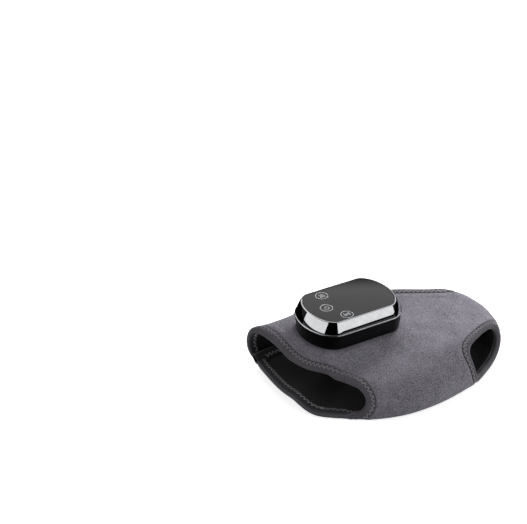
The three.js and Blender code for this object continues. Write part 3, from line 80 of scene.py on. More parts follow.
# Room round whatever sits in a pocket, and how far a cutter reaches past a face.
SEAT, OVERCUT = 0.0003, 0.001
# The line of the contacts, from the controller's middle.
CONTACT_Y = -0.0225


def smooth(share: Any) -> Any:
    """Returns the smooth step of a share, which is held between 0 and 1."""
    inside = np.clip(share, 0.0, 1.0)
    return inside * inside * (3 - 2 * inside)


def mix(low: Any, high: Any, share: Any) -> Any:
    """Returns the value at a share of the way from low to high."""
    return low + (high - low) * share


def unit(vectors: np.ndarray) -> np.ndarray:
    """Returns vectors of length 1 along the last axis."""
    return vectors / np.linalg.norm(vectors, axis=-1, keepdims=True)


def table_curve(rows: Rows, place: np.ndarray) -> np.ndarray:
    """Reads a smooth curve through the rows of a table.

    Args:
        rows: Each row is a place followed by the values there.
        place: Where the curve is read.

    Returns:
        The values, on a last axis of their own.
    """
    table = np.asarray(rows, float)
    places, values = table[:, 0], table[:, 1:]
    last, each = len(places) - 1, np.arange(len(places))
    before, after = np.maximum(each - 1, 0), np.minimum(each + 1, last)
    slopes = (values[after] - values[before]) / (places[after] - places[before])[:, None]
    at = np.clip(place, places[0], places[-1])
    row = np.clip(np.searchsorted(places, at, side="right") - 1, 0, last - 1)
    span = (places[row + 1] - places[row])[..., None]
    share = (at - places[row])[..., None] / span
    leave = share * (1 - share) ** 2 * span * slopes[row]
    arrive = share**2 * (share - 1) * span * slopes[row + 1]
    return mix(values[row], values[row + 1], share**2 * (3 - 2 * share)) + leave + arrive


@dataclass
class Section:
    """Cross-sections of the sleeve, each from its front fold to its back fold."""

    along: np.ndarray
    front: np.ndarray
    towards: np.ndarray
    outwards: np.ndarray
    width: np.ndarray
    heights: dict[str, np.ndarray]


@dataclass(frozen=True)
class SleeveForm:
    """Outer face of the sleeve's wall, wound from its inner end round the sleeve to its flap.

    A point has two coordinates. Its place round the wall runs through the stretches 0 to 8: inner
    end, on the flap, bottom, back fold below and above, top, front fold above and below. Places 8
    to 9 are the flap. Its place along the wall runs from the foot opening, 0, to the leg opening, 1.
    """

    length: float = 0.218
    depth: float = 0.161
    height: float = 0.0494
    flap_reach: float = 0.072
    flap_retreat: float = 0.008
    lift: float = 0.0076
    step_start: float = 0.002
    step_run: float = 0.022
    lip_step_run: float = 0.033
    lip_step_fade_share: float = 0.22
    lower_lip_reach: float = 0.028
    upper_lip_reach: float = 0.005
    glass_length: float = 0.0866
    glass_width: float = 0.057
    glass_end: float = 0.017
    tray_foot_flare: float = 0.0032
    end_spread_share: float = 1.25
    derivative_share: float = 0.001
    walk_steps: int = 2
    inner_end_angle: float = math.radians(56)
    fold_turn_share: float = 0.8
    flap_flat_share: float = 0.6
    hinge_inset_share: float = 1.4
    hinge_hold_share: float = 1.5
    lip_fade_share: float = 0.3
    lower_lip_skew_share: float = 1.35
    leg_droop: float = 0.001
    leg_droop_start_share: float = 0.925
    platform_flat_share: float = 1.1
    platform_fall_share: float = 0.45
    layer_clear_share: float = 0.55
    layer_blend_share: float = 0.2
    dock_centre_shares: Pair = (0.342, 0.618)
    front_fold_shares: Rows = (
        (0, 0, 0.975), (0.5, 0.128, 0.981), (0.8, 0.22, 0.997), (1, 0.284, 1.056),
    )
    back_fold_shares: Rows = (
        (0, 0.202, 0.149), (0.07, 0.312, 0.037), (0.2, 0.468, 0), (0.42, 0.702, 0.05),
        (0.56, 0.835, 0.13), (0.68, 0.936, 0.23), (0.78, 0.995, 0.36), (0.9, 0.995, 0.522),
        (1, 0.959, 0.634),
    )
    height_shares: tuple[tuple[str, Rows], ...] = (
        ("front_extreme", ((0, 0.506), (0.3, 0.526), (1, 0.486))),
        ("front_upper", ((0, 0.304), (0.3, 0.567), (1, 0.526))),
        ("front_lower", ((0, 0.526), (1, 0.486))),
        ("front_top", ((0, 0.931), (0.3, 0.951), (1, 0.931))),
        ("back_extreme", ((0, 0.364), (0.3, 0.344), (0.68, 0.364), (1, 0.425))),
        ("back_upper", ((0, 0.445), (0.3, 0.85), (0.55, 0.607), (0.75, 0.526), (1, 0.567))),
        ("back_lower", ((0, 0.445), (0.3, 0.405), (0.68, 0.364), (1, 0.364))),
        ("back_top", ((0, 0.749), (0.15, 0.81), (0.4, 0.931), (0.75, 0.951), (1, 1))),
        ("sag", ((0, -0.162), (0.1, -0.04), (0.22, 0.04), (0.6, 0.055), (0.85, 0.062), (1, 0.075))),
    )

    @cached_property
    def origin(self) -> np.ndarray:
        """Place of the form's own origin in the frame, from the dock's node."""
        low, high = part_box("dock_tray")
        return np.array([*(np.array((low + high) / 2)[:2] - self.dock_centre), 0.0])

    @cached_property
    def dock_centre(self) -> np.ndarray:
        """Middle of the dock from the form's own origin."""
        return np.array(self.dock_centre_shares) * (self.length, self.depth)

    def section(self, along: np.ndarray) -> Section:
        """Returns the cross-sections at places along the sleeve.

        Args:
            along: Places along the sleeve.

        Returns:
            The cross-sections there.
        """
        scale = np.array([self.length, self.depth])
        front = table_curve(self.front_fold_shares, along) * scale
        across = table_curve(self.back_fold_shares, along) * scale - front
        width = np.linalg.norm(across, axis=-1)
        towards = across / width[..., None]
        outwards = np.stack([towards[..., 1], -towards[..., 0]], -1)
        heights = {
            name: table_curve(rows, along)[..., 0] * self.height for name, rows in self.height_shares
        }
        return Section(along, front, towards, outwards, width, heights)

    @cached_property
    def hinge(self) -> Places:
        """A point of the flap's hinge line and the line's normal, in plan."""
        ends = self.section(np.array([0.0, 1.0]))
        inset = ends.heights["front_lower"] * self.hinge_inset_share
        points = ends.front + ends.towards * inset[:, None]
        direction = unit(points[1] - points[0])
        return points[0], np.array([-direction[1], direction[0]])

    def hinge_across(self, section: Section, reach: np.ndarray) -> np.ndarray:
        """Measures from the front fold to the hinge line, for a wall moved by reach.

        Args:
            section: The sections.
            reach: How far the wall is moved in each.

        Returns:
            The distances.
        """
        point, normal = self.hinge
        start = section.front + section.outwards * reach[..., None]
        return ((point - start) @ normal) / (section.towards @ normal)

    def profile(self, section: Section, place: np.ndarray) -> Places:
        """Finds points in their sections, from the front fold and from the floor.

        Args:
            section: The points' sections.
            place: Their places round the wall.

        Returns:
            The distances and the heights.
        """
        h = section.heights
        stretch = np.minimum(np.floor(place), FOLD_FOOT)
        share = place - stretch
        sine, cosine = np.sin(share * math.pi / 2), np.cos(share * math.pi / 2)
        angle = self.inner_end_angle * (1 - share)
        inward = np.stack([np.sin(angle) * h["front_extreme"], np.cos(angle) * h["front_lower"]], -1)
        inward = unit(inward) * self.lift
        flap_clear = self.flap_reach + self.step_start
        beyond_lip = smooth(section.along / self.lip_step_fade_share)
        step_run = mix(self.lip_step_run, self.step_run, beyond_lip)
        level = share / self.flap_flat_share
        down = (share - self.flap_flat_share) / (1 - self.flap_flat_share)
        back_flat = section.width - h["back_lower"]
        top_start = section.width - h["back_upper"]
        low = np.minimum(share / self.fold_turn_share, 1) * (math.pi / 2)
        stretches = [stretch == number for number in range(FOLD_FOOT + 1)]
        across = np.select(stretches, [
            h["front_lower"] * (1 - np.sin(angle)) + inward[..., 0],
            np.where(down < 0, mix(h["front_lower"], flap_clear, level), flap_clear + step_run * down),
            mix(flap_clear + step_run, back_flat, share),
            back_flat + h["back_lower"] * sine,
            top_start + h["back_upper"] * cosine,
            mix(top_start, h["front_upper"], share),
            h["front_upper"] * (1 - sine),
            h["front_lower"] * (1 - np.cos(low)),
        ])
        crown = h["sag"] * np.sin(math.pi * share) ** 2
        z = np.select(stretches, [
            h["front_extreme"] * (1 - np.cos(angle)) + inward[..., 1],
            self.lift * (1 - smooth(down)),
            np.zeros_like(share),
            h["back_extreme"] * (1 - cosine),
            h["back_extreme"] + (h["back_top"] - h["back_extreme"]) * sine,
            mix(h["back_top"], h["front_top"], smooth(share)) + crown,
            h["front_extreme"] + (h["front_top"] - h["front_extreme"]) * cosine,
            h["front_extreme"] * (1 - np.sin(low)),
        ])
        return across, z

    def platform_share(self, plan: np.ndarray) -> np.ndarray:
        """Returns how far the wall is levelled for the dock, from 0 to 1.

        Args:
            plan: Points in plan, from the form's own origin.

        Returns:
            The share for each point.
        """
        away = np.abs(plan - self.dock_centre)
        straight = self.glass_length / 2 - self.glass_end
        end = self.glass_end + self.tray_foot_flare * self.end_spread_share
        beyond = np.maximum(away[..., 0] - straight, 0) / end
        beside = away[..., 1] / (self.glass_width / 2 + self.tray_foot_flare)
        outside = np.hypot(beyond, beside) - self.platform_flat_share
        return 1 - smooth(outside / self.platform_fall_share)

    def point(self, place: np.ndarray, along: np.ndarray) -> np.ndarray:
        """Returns points of the wall's outer face, in the frame.

        Args:
            place: Places round the wall.
            along: Places along it, an array of the same shape.

        Returns:
            The points, on a last axis of their own.
        """
        section = self.section(along)
        across, z = self.profile(section, place)
        share = np.clip(across / section.width, 0, 1)
        high = smooth(z / section.heights["front_top"])
        bump = np.sin(math.pi * share ** mix(self.lower_lip_skew_share, 1, high))
        reach = mix(self.lower_lip_reach, self.upper_lip_reach, high) * bump
        below = place - FOLD_FOOT
        reach = np.where(below > 0, mix(reach, -self.flap_retreat, smooth(below)), reach)
        reach = reach * np.maximum(1 - along / self.lip_fade_share, 0) ** 2
        end = self.hinge_across(section, reach)
        last = (below - self.fold_turn_share) / (1 - self.fold_turn_share)
        across = np.where(last > 0, mix(across, end, np.minimum(last, 1)), across)
        on_flap = place - FLAP_START
        across = np.where(on_flap > 0, mix(end, self.flap_reach, on_flap), across)
        plan = section.front + section.towards * across[..., None] + section.outwards * reach[..., None]
        upper = smooth((z / self.height - self.layer_clear_share) / self.layer_blend_share)
        z = mix(z, self.height, self.platform_share(plan) * upper)
        droop_start = self.leg_droop_start_share
        near_leg = np.maximum(along - droop_start, 0) / (1 - droop_start)
        z = z - self.leg_droop * upper * near_leg**2
        return np.concatenate([plan, z[..., None]], -1) + self.origin

    def slopes(self, place: np.ndarray, along: np.ndarray) -> Places:
        """Returns the changes of the wall's points round the wall and along it.

        Args:
            place: The points' places round the wall.
            along: Their places along it.

        Returns:
            The changes round the wall and those along it.
        """
        step = self.derivative_share
        low, high = np.maximum(place - step, 0), place + step
        near, far = np.maximum(along - step, 0), np.minimum(along + step, 1)
        round_slope = (self.point(high, along) - self.point(low, along)) / (high - low)[..., None]
        along_slope = (self.point(place, far) - self.point(place, near)) / (far - near)[..., None]
        return round_slope, along_slope

    def inward(self, place: np.ndarray, along: np.ndarray) -> np.ndarray:
        """Returns the wall's normals, which point into it."""
        return unit(np.cross(*self.slopes(place, along)))

    def walk(self, place: np.ndarray, along: np.ndarray, distance: float) -> Places:
        """Walks a signed distance along the sleeve, square to the wall's sections.

        Args:
            place: Places round the wall where the walk starts.
            along: Places along the wall where it starts.
            distance: Length of the walk, negative towards the foot opening.

        Returns:
            The places round and along where it ends.
        """
        for _ in range(self.walk_steps):
            free = smooth(np.minimum(place, (FLAP_START - place) / self.hinge_hold_share))
            round_slope, along_slope = self.slopes(place, along)
            turn = unit(round_slope)
            square = along_slope - turn * (along_slope * turn).sum(-1, keepdims=True)
            change = distance / self.walk_steps / np.linalg.norm(square, axis=-1)
            drift = (along_slope * round_slope).sum(-1) / (round_slope**2).sum(-1)
            place = place - free * change * drift
            along = along + change
        return place, along

    def end_step(self, along: np.ndarray, edge: "EndEdge") -> np.ndarray:
        """Returns the change round the wall that moves one metre from one of its end edges.

        Args:
            along: Places along the edge.
            edge: Which end it is.

        Returns:
            The change at each place.
        """
        place = np.full_like(along, FLAP_END if edge is EndEdge.FLAP else 0.0)
        round_slope, along_slope = self.slopes(place, along)
        area = np.linalg.norm(np.cross(round_slope, along_slope), axis=-1)
        step = np.linalg.norm(along_slope, axis=-1) / area
        return -step if edge is EndEdge.FLAP else step


class EndEdge(Enum):
    """The bound end that a patch of the wall has."""

    NONE = "none"
    INNER = "inner end of the wall"
    FLAP = "end of the flap"


class Opening(Enum):
    """An opening at an end of the sleeve, by the way from its edge into the wall."""

    FOOT = 1
    LEG = -1


@dataclass(frozen=True)
class WallLayers:
    """Depths and distances of the wall's layers, from the suede face and from a bound edge."""

    shell: float = 0.0024
    lining_face: float = 0.0036
    lining_back: float = 0.0046
    binding_width: float = 0.0091
    binding_depth: float = 0.00602
    tape: float = 0.0009
    pressed: float = 0.00142
    shoulder: float = 0.0027
    fold_radius: float = 0.00301
    fold_steps: int = 10
    spacing: float = 0.002
    lines: tuple[float, ...] = (
        0, 0.0034, NORMAL_LINE, 0.0072, 0.0085, 0.0091, 0.0093, 0.0097, 0.0103, 0.0111, 0.0121, 0.0135, 0.016,
    )
    held_normals: float = 0.0117
    free_normals: float = 0.024

    @cached_property
    def tape_profile(self) -> tuple[Pair, ...]:
        """Distances from the tape's fold, and how deep its outer face lies there."""
        width, tape = self.binding_width, self.tape
        return (
            (0.0, 0.0), (0.55 * width, 0.08 * tape), (0.8 * width, 0.25 * tape),
            (width - 0.2 * tape, 0.45 * tape), (width, 0.7 * tape),
        )

    def suede_depth(self, distance: np.ndarray) -> np.ndarray:
        """Returns how deep the suede face lies at a distance from the nearest bound edge."""
        share = np.clip((distance - self.binding_width) / self.shoulder, 0, 1)
        return self.pressed * (1 - np.sqrt(1 - (1 - share) ** 2))

    def tape_depth(self, distance: float) -> float:
        """Returns how deep the tape's outer face lies at a distance from its fold."""
        return float(np.interp(distance, *zip(*self.tape_profile)))

    @property
    def binding_section(self) -> list[Pair]:
        """The folded tape's section: distances from its fold and depths in the wall."""
        width, depth, radius, tape = self.binding_width, self.binding_depth, self.fold_radius, self.tape
        outer = list(self.tape_profile[:0:-1])
        turns = [math.pi * step / self.fold_steps for step in range(self.fold_steps + 1)]
        fold = [(radius - radius * math.sin(turn), radius - radius * math.cos(turn)) for turn in turns]
        back = [(distance, depth - lower) for distance, lower in reversed(outer)]
        inside = radius - tape
        lining = [(width, depth - 1.5 * tape), (radius, depth - tape)]
        hollow = [
            (radius - inside * math.sin(turn), radius + inside * math.cos(turn)) for turn in turns[2:-1:2]
        ]
        return outer + fold + back + lining + hollow + [(radius, tape), (width, 1.5 * tape)]


def make_mesh(
    name: str, points: np.ndarray, faces: Sequence[Sequence[int]], uv: np.ndarray | None = None
) -> Piece:
    """Makes a smooth-shaded mesh piece.

    Args:
        name: The piece's name.
        points: Its points, in the frame.
        faces: The points of each face, counter-clockwise from outside.
        uv: Places on the cloth for each corner of each face, in metres.

    Returns:
        The new object, at the origin.
    """
    mesh, plain = bpy.data.meshes.new(name), np.asarray(points).reshape(-1, 3).tolist()
    mesh.from_pydata(plain, [], [list(map(int, face)) for face in faces])
    if uv is not None:
        layer = mesh.uv_layers.new(name="cloth")
        layer.data.foreach_set("uv", np.asarray(uv, np.float32).ravel())
    mesh.validate()
    piece = bpy.data.objects.new(name, mesh)
    bpy.context.scene.collection.objects.link(piece)
    focus(piece)
    bpy.ops.object.shade_smooth_by_angle(angle=CLOTH_SMOOTH_ANGLE)
    return piece


def focus(piece: Piece) -> None:
    """Makes a piece the only selected and the active one.

    Args:
        piece: The piece.
    """
    bpy.ops.object.select_all(action="DESELECT")
    piece.select_set(True)
    bpy.context.view_layer.objects.active = piece


def face_out(piece: Piece) -> None:
    """Turns the faces of a closed piece outwards.

    Args:
        piece: The piece.
    """
    work = bmesh.new()
    work.from_mesh(piece.data)
    bmesh.ops.recalc_face_normals(work, faces=work.faces)
    work.to_mesh(piece.data)
    work.free()


def mount(pieces: Sequence[Piece], nodes: Sequence[str], body: str) -> None:
    """Puts pieces on a body, the first of them in CAD nodes' stead.

    Args:
        pieces: The pieces.
        nodes: The CAD nodes that the first of them stand for.
        body: The body that they ride on.
    """
    for piece, node in zip(pieces, nodes):
        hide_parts(node)
    for piece in pieces:
        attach(piece, body)


@dataclass
class EdgeStrip:
    """The band of the wall along one bound edge: stops along the edge, lines at set distances."""

    form: SleeveForm
    place: np.ndarray
    along: np.ndarray
    distances: Sequence[float]
    closed: bool = False
    smoothing_rounds: int = 3

    def trimmed(self, count: int) -> "EdgeStrip":
        """Returns the strip without its first and last stops."""
        return EdgeStrip(self.form, self.place[count:-count], self.along[count:-count], self.distances)

    @cached_property
    def points(self) -> np.ndarray:
        """Points of the outer face, by stop and by line."""
        return self.form.point(self.place, self.along)

    @cached_property
    def inward(self) -> np.ndarray:
        """One normal for each stop, evened out between neighbours."""
        line = int(np.argmin(np.abs(np.array(self.distances) - NORMAL_LINE)))
        normals = self.form.inward(self.place[:, line], self.along[:, line])
        for _ in range(self.smoothing_rounds):
            if self.closed:
                normals = normals * 2 + np.roll(normals, 1, 0) + np.roll(normals, -1, 0)
            else:
                normals[1:-1] = normals[1:-1] * 2 + normals[:-2] + normals[2:]
            normals = unit(normals)
        return normals

    def line(self, distance: float, depth: float) -> np.ndarray:
        """Returns the line at a distance from the edge and a depth in the wall.

        Args:
            distance: Distance from the edge.
            depth: Depth in the wall.

        Returns:
            A point for each stop.
        """
        at = float(np.interp(distance, self.distances, np.arange(len(self.distances))))
        low = min(int(at), len(self.distances) - 2)
        return mix(self.points[:, low], self.points[:, low + 1], at - low) + self.inward * depth


@dataclass
class WallPatch:
    """Grid on a part of the wall, with lines at set distances from each bound edge.

    Each row is a place round the wall, a distance from the patch's end edge, and how far the
    distance counts: 1 in the bound strip, and 0 where only the place counts.
    """

    form: SleeveForm
    layers: WallLayers
    rows: np.ndarray
    edge: EndEdge = EndEdge.NONE
    columns: int = 88
    lines_past_end: int = 7

    def row_place(self, along: np.ndarray) -> np.ndarray:
        """Returns the places round the wall of each row, at its own places along the wall.

        Args:
            along: Each row's place along the wall.

        Returns:
            Each row's place round it.
        """
        place, distance, weight = self.rows.T
        if self.edge is EndEdge.NONE:
            return np.broadcast_to(place, along.shape)
        edge_place = FLAP_END if self.edge is EndEdge.FLAP else 0
        return mix(place, edge_place + distance * self.form.end_step(along, self.edge), weight)

    def strip(self, opening: Opening) -> Places:
        """Returns the places of the lines along one opening, nearest first.

        Args:
            opening: The opening.

        Returns:
            Places round and along the wall, by row and line.
        """
        along = np.full(len(self.rows), 0.0 if opening is Opening.FOOT else 1.0)
        place = self.row_place(along)
        places, alongs = [place], [along]
        for step in np.diff(self.layers.lines):
            place, along = self.form.walk(place, along, opening.value * step)
            if self.edge is EndEdge.FLAP:
                place = self.row_place(along)
            places.append(place)
            alongs.append(along)
        return np.stack(places, 1), np.stack(alongs, 1)

    @cached_property
    def grid(self) -> Places:
        """Places round and along the wall, by row and column."""
        (foot, foot_along), (leg, leg_along) = map(self.strip, Opening)
        at_foot, at_leg = (self.row_place(np.full(len(self.rows), end)) for end in (0.0, 1.0))
        foot_shift, leg_shift = foot[:, -1] - at_foot, leg[:, -1] - at_leg
        places, alongs = [foot], [foot_along]
        for column in range(1, self.columns):
            share = column / self.columns
            along = mix(foot_along[:, -1], leg_along[:, -1], share)
            shift = foot_shift * (1 - share) ** 3 + leg_shift * share**3
            places.append((self.row_place(along) + shift)[:, None])
            alongs.append(along[:, None])
        places.append(leg[:, ::-1])
        alongs.append(leg_along[:, ::-1])
        return np.concatenate(places, 1), np.concatenate(alongs, 1)

    @cached_property
    def end_distances(self) -> np.ndarray:
        """Each row's distance from the patch's end edge, or infinity away from it."""
        return np.where(self.rows[:, 2] > 0, self.rows[:, 1], np.inf)

    @cached_property
    def distances(self) -> np.ndarray:
        """Distance of each grid point from the nearest bound edge."""
        far = np.full(self.columns - 1, np.inf)
        across = np.concatenate([self.layers.lines, far, self.layers.lines[::-1]])
        return np.minimum(np.broadcast_to(across, self.grid[0].shape), self.end_distances[:, None])

    @cached_property
    def end_rows(self) -> np.ndarray:
        """Numbers of the rows of the end edge's strip, nearest to the edge first."""
        order = np.argsort(self.end_distances, kind="stable")
        return order[self.end_distances[order] < np.inf]

    def normal_lines(self, distances: np.ndarray) -> np.ndarray:
        """Returns the line whose normal each line takes: one for the bound strip, then its own.

        Args:
            distances: The lines' distances from the edge.

        Returns:
            The numbers of the lines, with parts.
        """
        held, free = self.layers.held_normals, self.layers.free_normals
        between = mix(NORMAL_LINE, free, (distances - held) / (free - held))
        wanted = np.where(distances < held, NORMAL_LINE, between)
        wanted = np.where(distances > free, distances, wanted)
        return np.interp(wanted, distances, np.arange(len(distances)))

    @cached_property
    def inward(self) -> np.ndarray:
        """Normals of the grid: straight across each bound strip, and free away from it."""
        count_rows, count_columns = self.grid[0].shape
        steps = self.layers.spacing * np.arange(1, count_columns - len(self.layers.lines) + 1)
        from_foot = np.concatenate([self.layers.lines, self.layers.lines[-1] + steps])
        column = self.normal_lines(from_foot)
        near_leg = count_columns - 1 - column[: (count_columns + 1) // 2][::-1]
        column = np.concatenate([column[: count_columns // 2], near_leg])
        row = np.arange(count_rows, dtype=float)
        if self.edge is not EndEdge.NONE:
            bound = self.end_rows
            ends = self.end_distances[bound]
            extra = self.layers.spacing * np.arange(1, self.lines_past_end + 1)
            step = 1 if self.edge is EndEdge.INNER else -1
            for number, line in enumerate(self.normal_lines(np.concatenate([ends, ends[-1] + extra]))):
                row[bound[0] + step * number] = bound[0] + step * line
        return self.form.inward(*(self.read(values, row[:, None], column[None, :]) for values in self.grid))

    @staticmethod
    def read(values: np.ndarray, row: np.ndarray, column: np.ndarray) -> np.ndarray:
        """Returns a grid's values at parts of its rows and columns.

        Args:
            values: The grid.
            row: Rows, with parts.
            column: Columns, with parts.

        Returns:
            The values there.
        """
        row, column = np.broadcast_arrays(row, column)
        low_row = np.clip(np.floor(row).astype(int), 0, values.shape[0] - 2)
        low_column = np.clip(np.floor(column).astype(int), 0, values.shape[1] - 2)
        down, over = row - low_row, column - low_column
        near = mix(values[low_row, low_column], values[low_row, low_column + 1], over)
        far = mix(values[low_row + 1, low_column], values[low_row + 1, low_column + 1], over)
        return mix(near, far, down)

    def opening_strip(self, opening: Opening) -> EdgeStrip:
        """Returns the strip along an opening.

        Args:
            opening: The opening.

        Returns:
            The strip, as far as the end's binding.
        """
        place, along = self.grid
        lines = len(self.layers.lines)
        clear = self.end_distances >= self.layers.binding_width
        if opening is Opening.LEG:
            place, along = place[:, ::-1], along[:, ::-1]
        return EdgeStrip(self.form, place[clear, :lines], along[clear, :lines], self.layers.lines)

    def end_strip(self) -> EdgeStrip:
        """Returns the strip along the patch's end edge."""
        chosen = self.end_rows
        return EdgeStrip(self.form, *(values[chosen].T for values in self.grid), self.rows[chosen, 1])


@dataclass
class HeelOpening:
    """The bound opening for the heel, in the back fold: a squared ellipse on the wall."""

    wall: WallPatch
    form: SleeveForm
    layers: WallLayers
    along_shares: Pair = (0.597, 0.155)
    round_shares: Pair = (4.15, 0.51)
    squareness_share: float = 0.8
    width_share: float = 0.8
    stops: int = 120
    along_cells: int = 8
    round_cells: tuple[int, ...] = (0, 5, 7, 11, 16, 21, 25, 29)
    cells_start: float = 0.0113

    def power(self, value: np.ndarray) -> np.ndarray:
        """Returns sines or cosines raised to the power that squares the ellipse."""
        return np.sign(value) * np.abs(value) ** self.squareness_share

    def row_of(self, place: float) -> float:
        """Returns the row, counted in the wall's cells, of a place round the wall."""
        return float(np.interp(place, np.arange(1, FLAP_END), self.round_cells))

    def wall_places(self, row: np.ndarray, column: np.ndarray) -> Places:
        """Returns the places round and along the wall of rows and columns of its cells.

        Args:
            row: Rows, with parts.
            column: Columns, with parts.

        Returns:
            The places.
        """
        around, lines = np.interp(row, self.round_cells, np.arange(1, FLAP_END)), self.layers.lines
        foot, leg = self.wall.grid[1], self.wall.grid[1][:, ::-1]
        ends = []
        for near in (foot[:, : len(lines)], leg[:, : len(lines)]):
            starts = [np.interp(self.cells_start, lines, line) for line in near]
            ends.append(np.interp(around, self.wall.rows[:, 0], starts))
        return around, mix(*ends, column / self.along_cells)

    def cell_length(self, row: np.ndarray, column: np.ndarray, step: Pair) -> np.ndarray:
        """Measures the wall's cells round some spots.

        Args:
            row: The spots' rows.
            column: The spots' columns.
            step: Half a cell, in rows and in columns.

        Returns:
            The cells' lengths.
        """
        ahead, behind = (
            self.form.point(*self.wall_places(row + side * step[0], column + side * step[1])) for side in (1, -1)
        )
        return np.linalg.norm(ahead - behind, axis=-1)

    @cached_property
    def rings(self) -> Places:
        """Places round and along the wall of the lines round the opening."""
        angle = np.arange(self.stops) / self.stops * math.tau
        column_share, row_share = self.power(np.cos(angle)), self.power(np.sin(angle))
        low, high = (self.row_of(self.round_shares[0] + side * self.round_shares[1]) for side in (-1, 1))
        half_rows, half_columns = (high - low) / 2, self.along_cells * self.along_shares[1]
        row = (low + high) / 2 + half_rows * row_share
        column = self.along_cells * self.along_shares[0] + half_columns * column_share
        row_length, column_length = (self.cell_length(row, column, step) for step in ((0.5, 0), (0, 0.5)))
        away = (column_share / (half_columns * column_length), row_share / (half_rows * row_length))
        away = unit(np.stack(away, -1))
        distance = np.array(self.layers.lines)[None, :] * self.width_share
        return self.wall_places(
            row[:, None] + distance * (away[:, 1] / row_length)[:, None],
            column[:, None] + distance * (away[:, 0] / column_length)[:, None],
        )


@dataclass
class GridSearch:
    """Finds points of the wall in a grid, whose rows stand for set places round the wall."""

    place: np.ndarray
    along: np.ndarray
    nominal: np.ndarray
    rounds: int = 3

    def find(self, spots: np.ndarray, spots_along: np.ndarray) -> Places:
        """Finds points in the grid.

        Args:
            spots: The points' places round the wall.
            spots_along: The points' places along it.

        Returns:
            The points' rows and columns, with parts.
        """
        place, along, nominal = self.place, self.along, self.nominal
        first = int(np.argmax(nominal >= 1))
        rows, columns = np.arange(first, len(nominal)), np.arange(place.shape[1])
        row = np.interp(spots, nominal[first:], rows)
        column = np.empty_like(row)
        for _ in range(self.rounds):
            for spot in np.ndindex(row.shape):
                low = min(int(row[spot]), len(nominal) - 2)
                line = mix(along[low], along[low + 1], row[spot] - low)
                column[spot] = np.interp(spots_along[spot], line, columns)
                low = min(int(column[spot]), place.shape[1] - 2)
                line = mix(place[first:, low], place[first:, low + 1], column[spot] - low)
                row[spot] = np.interp(spots[spot], line, rows)
        return row, column


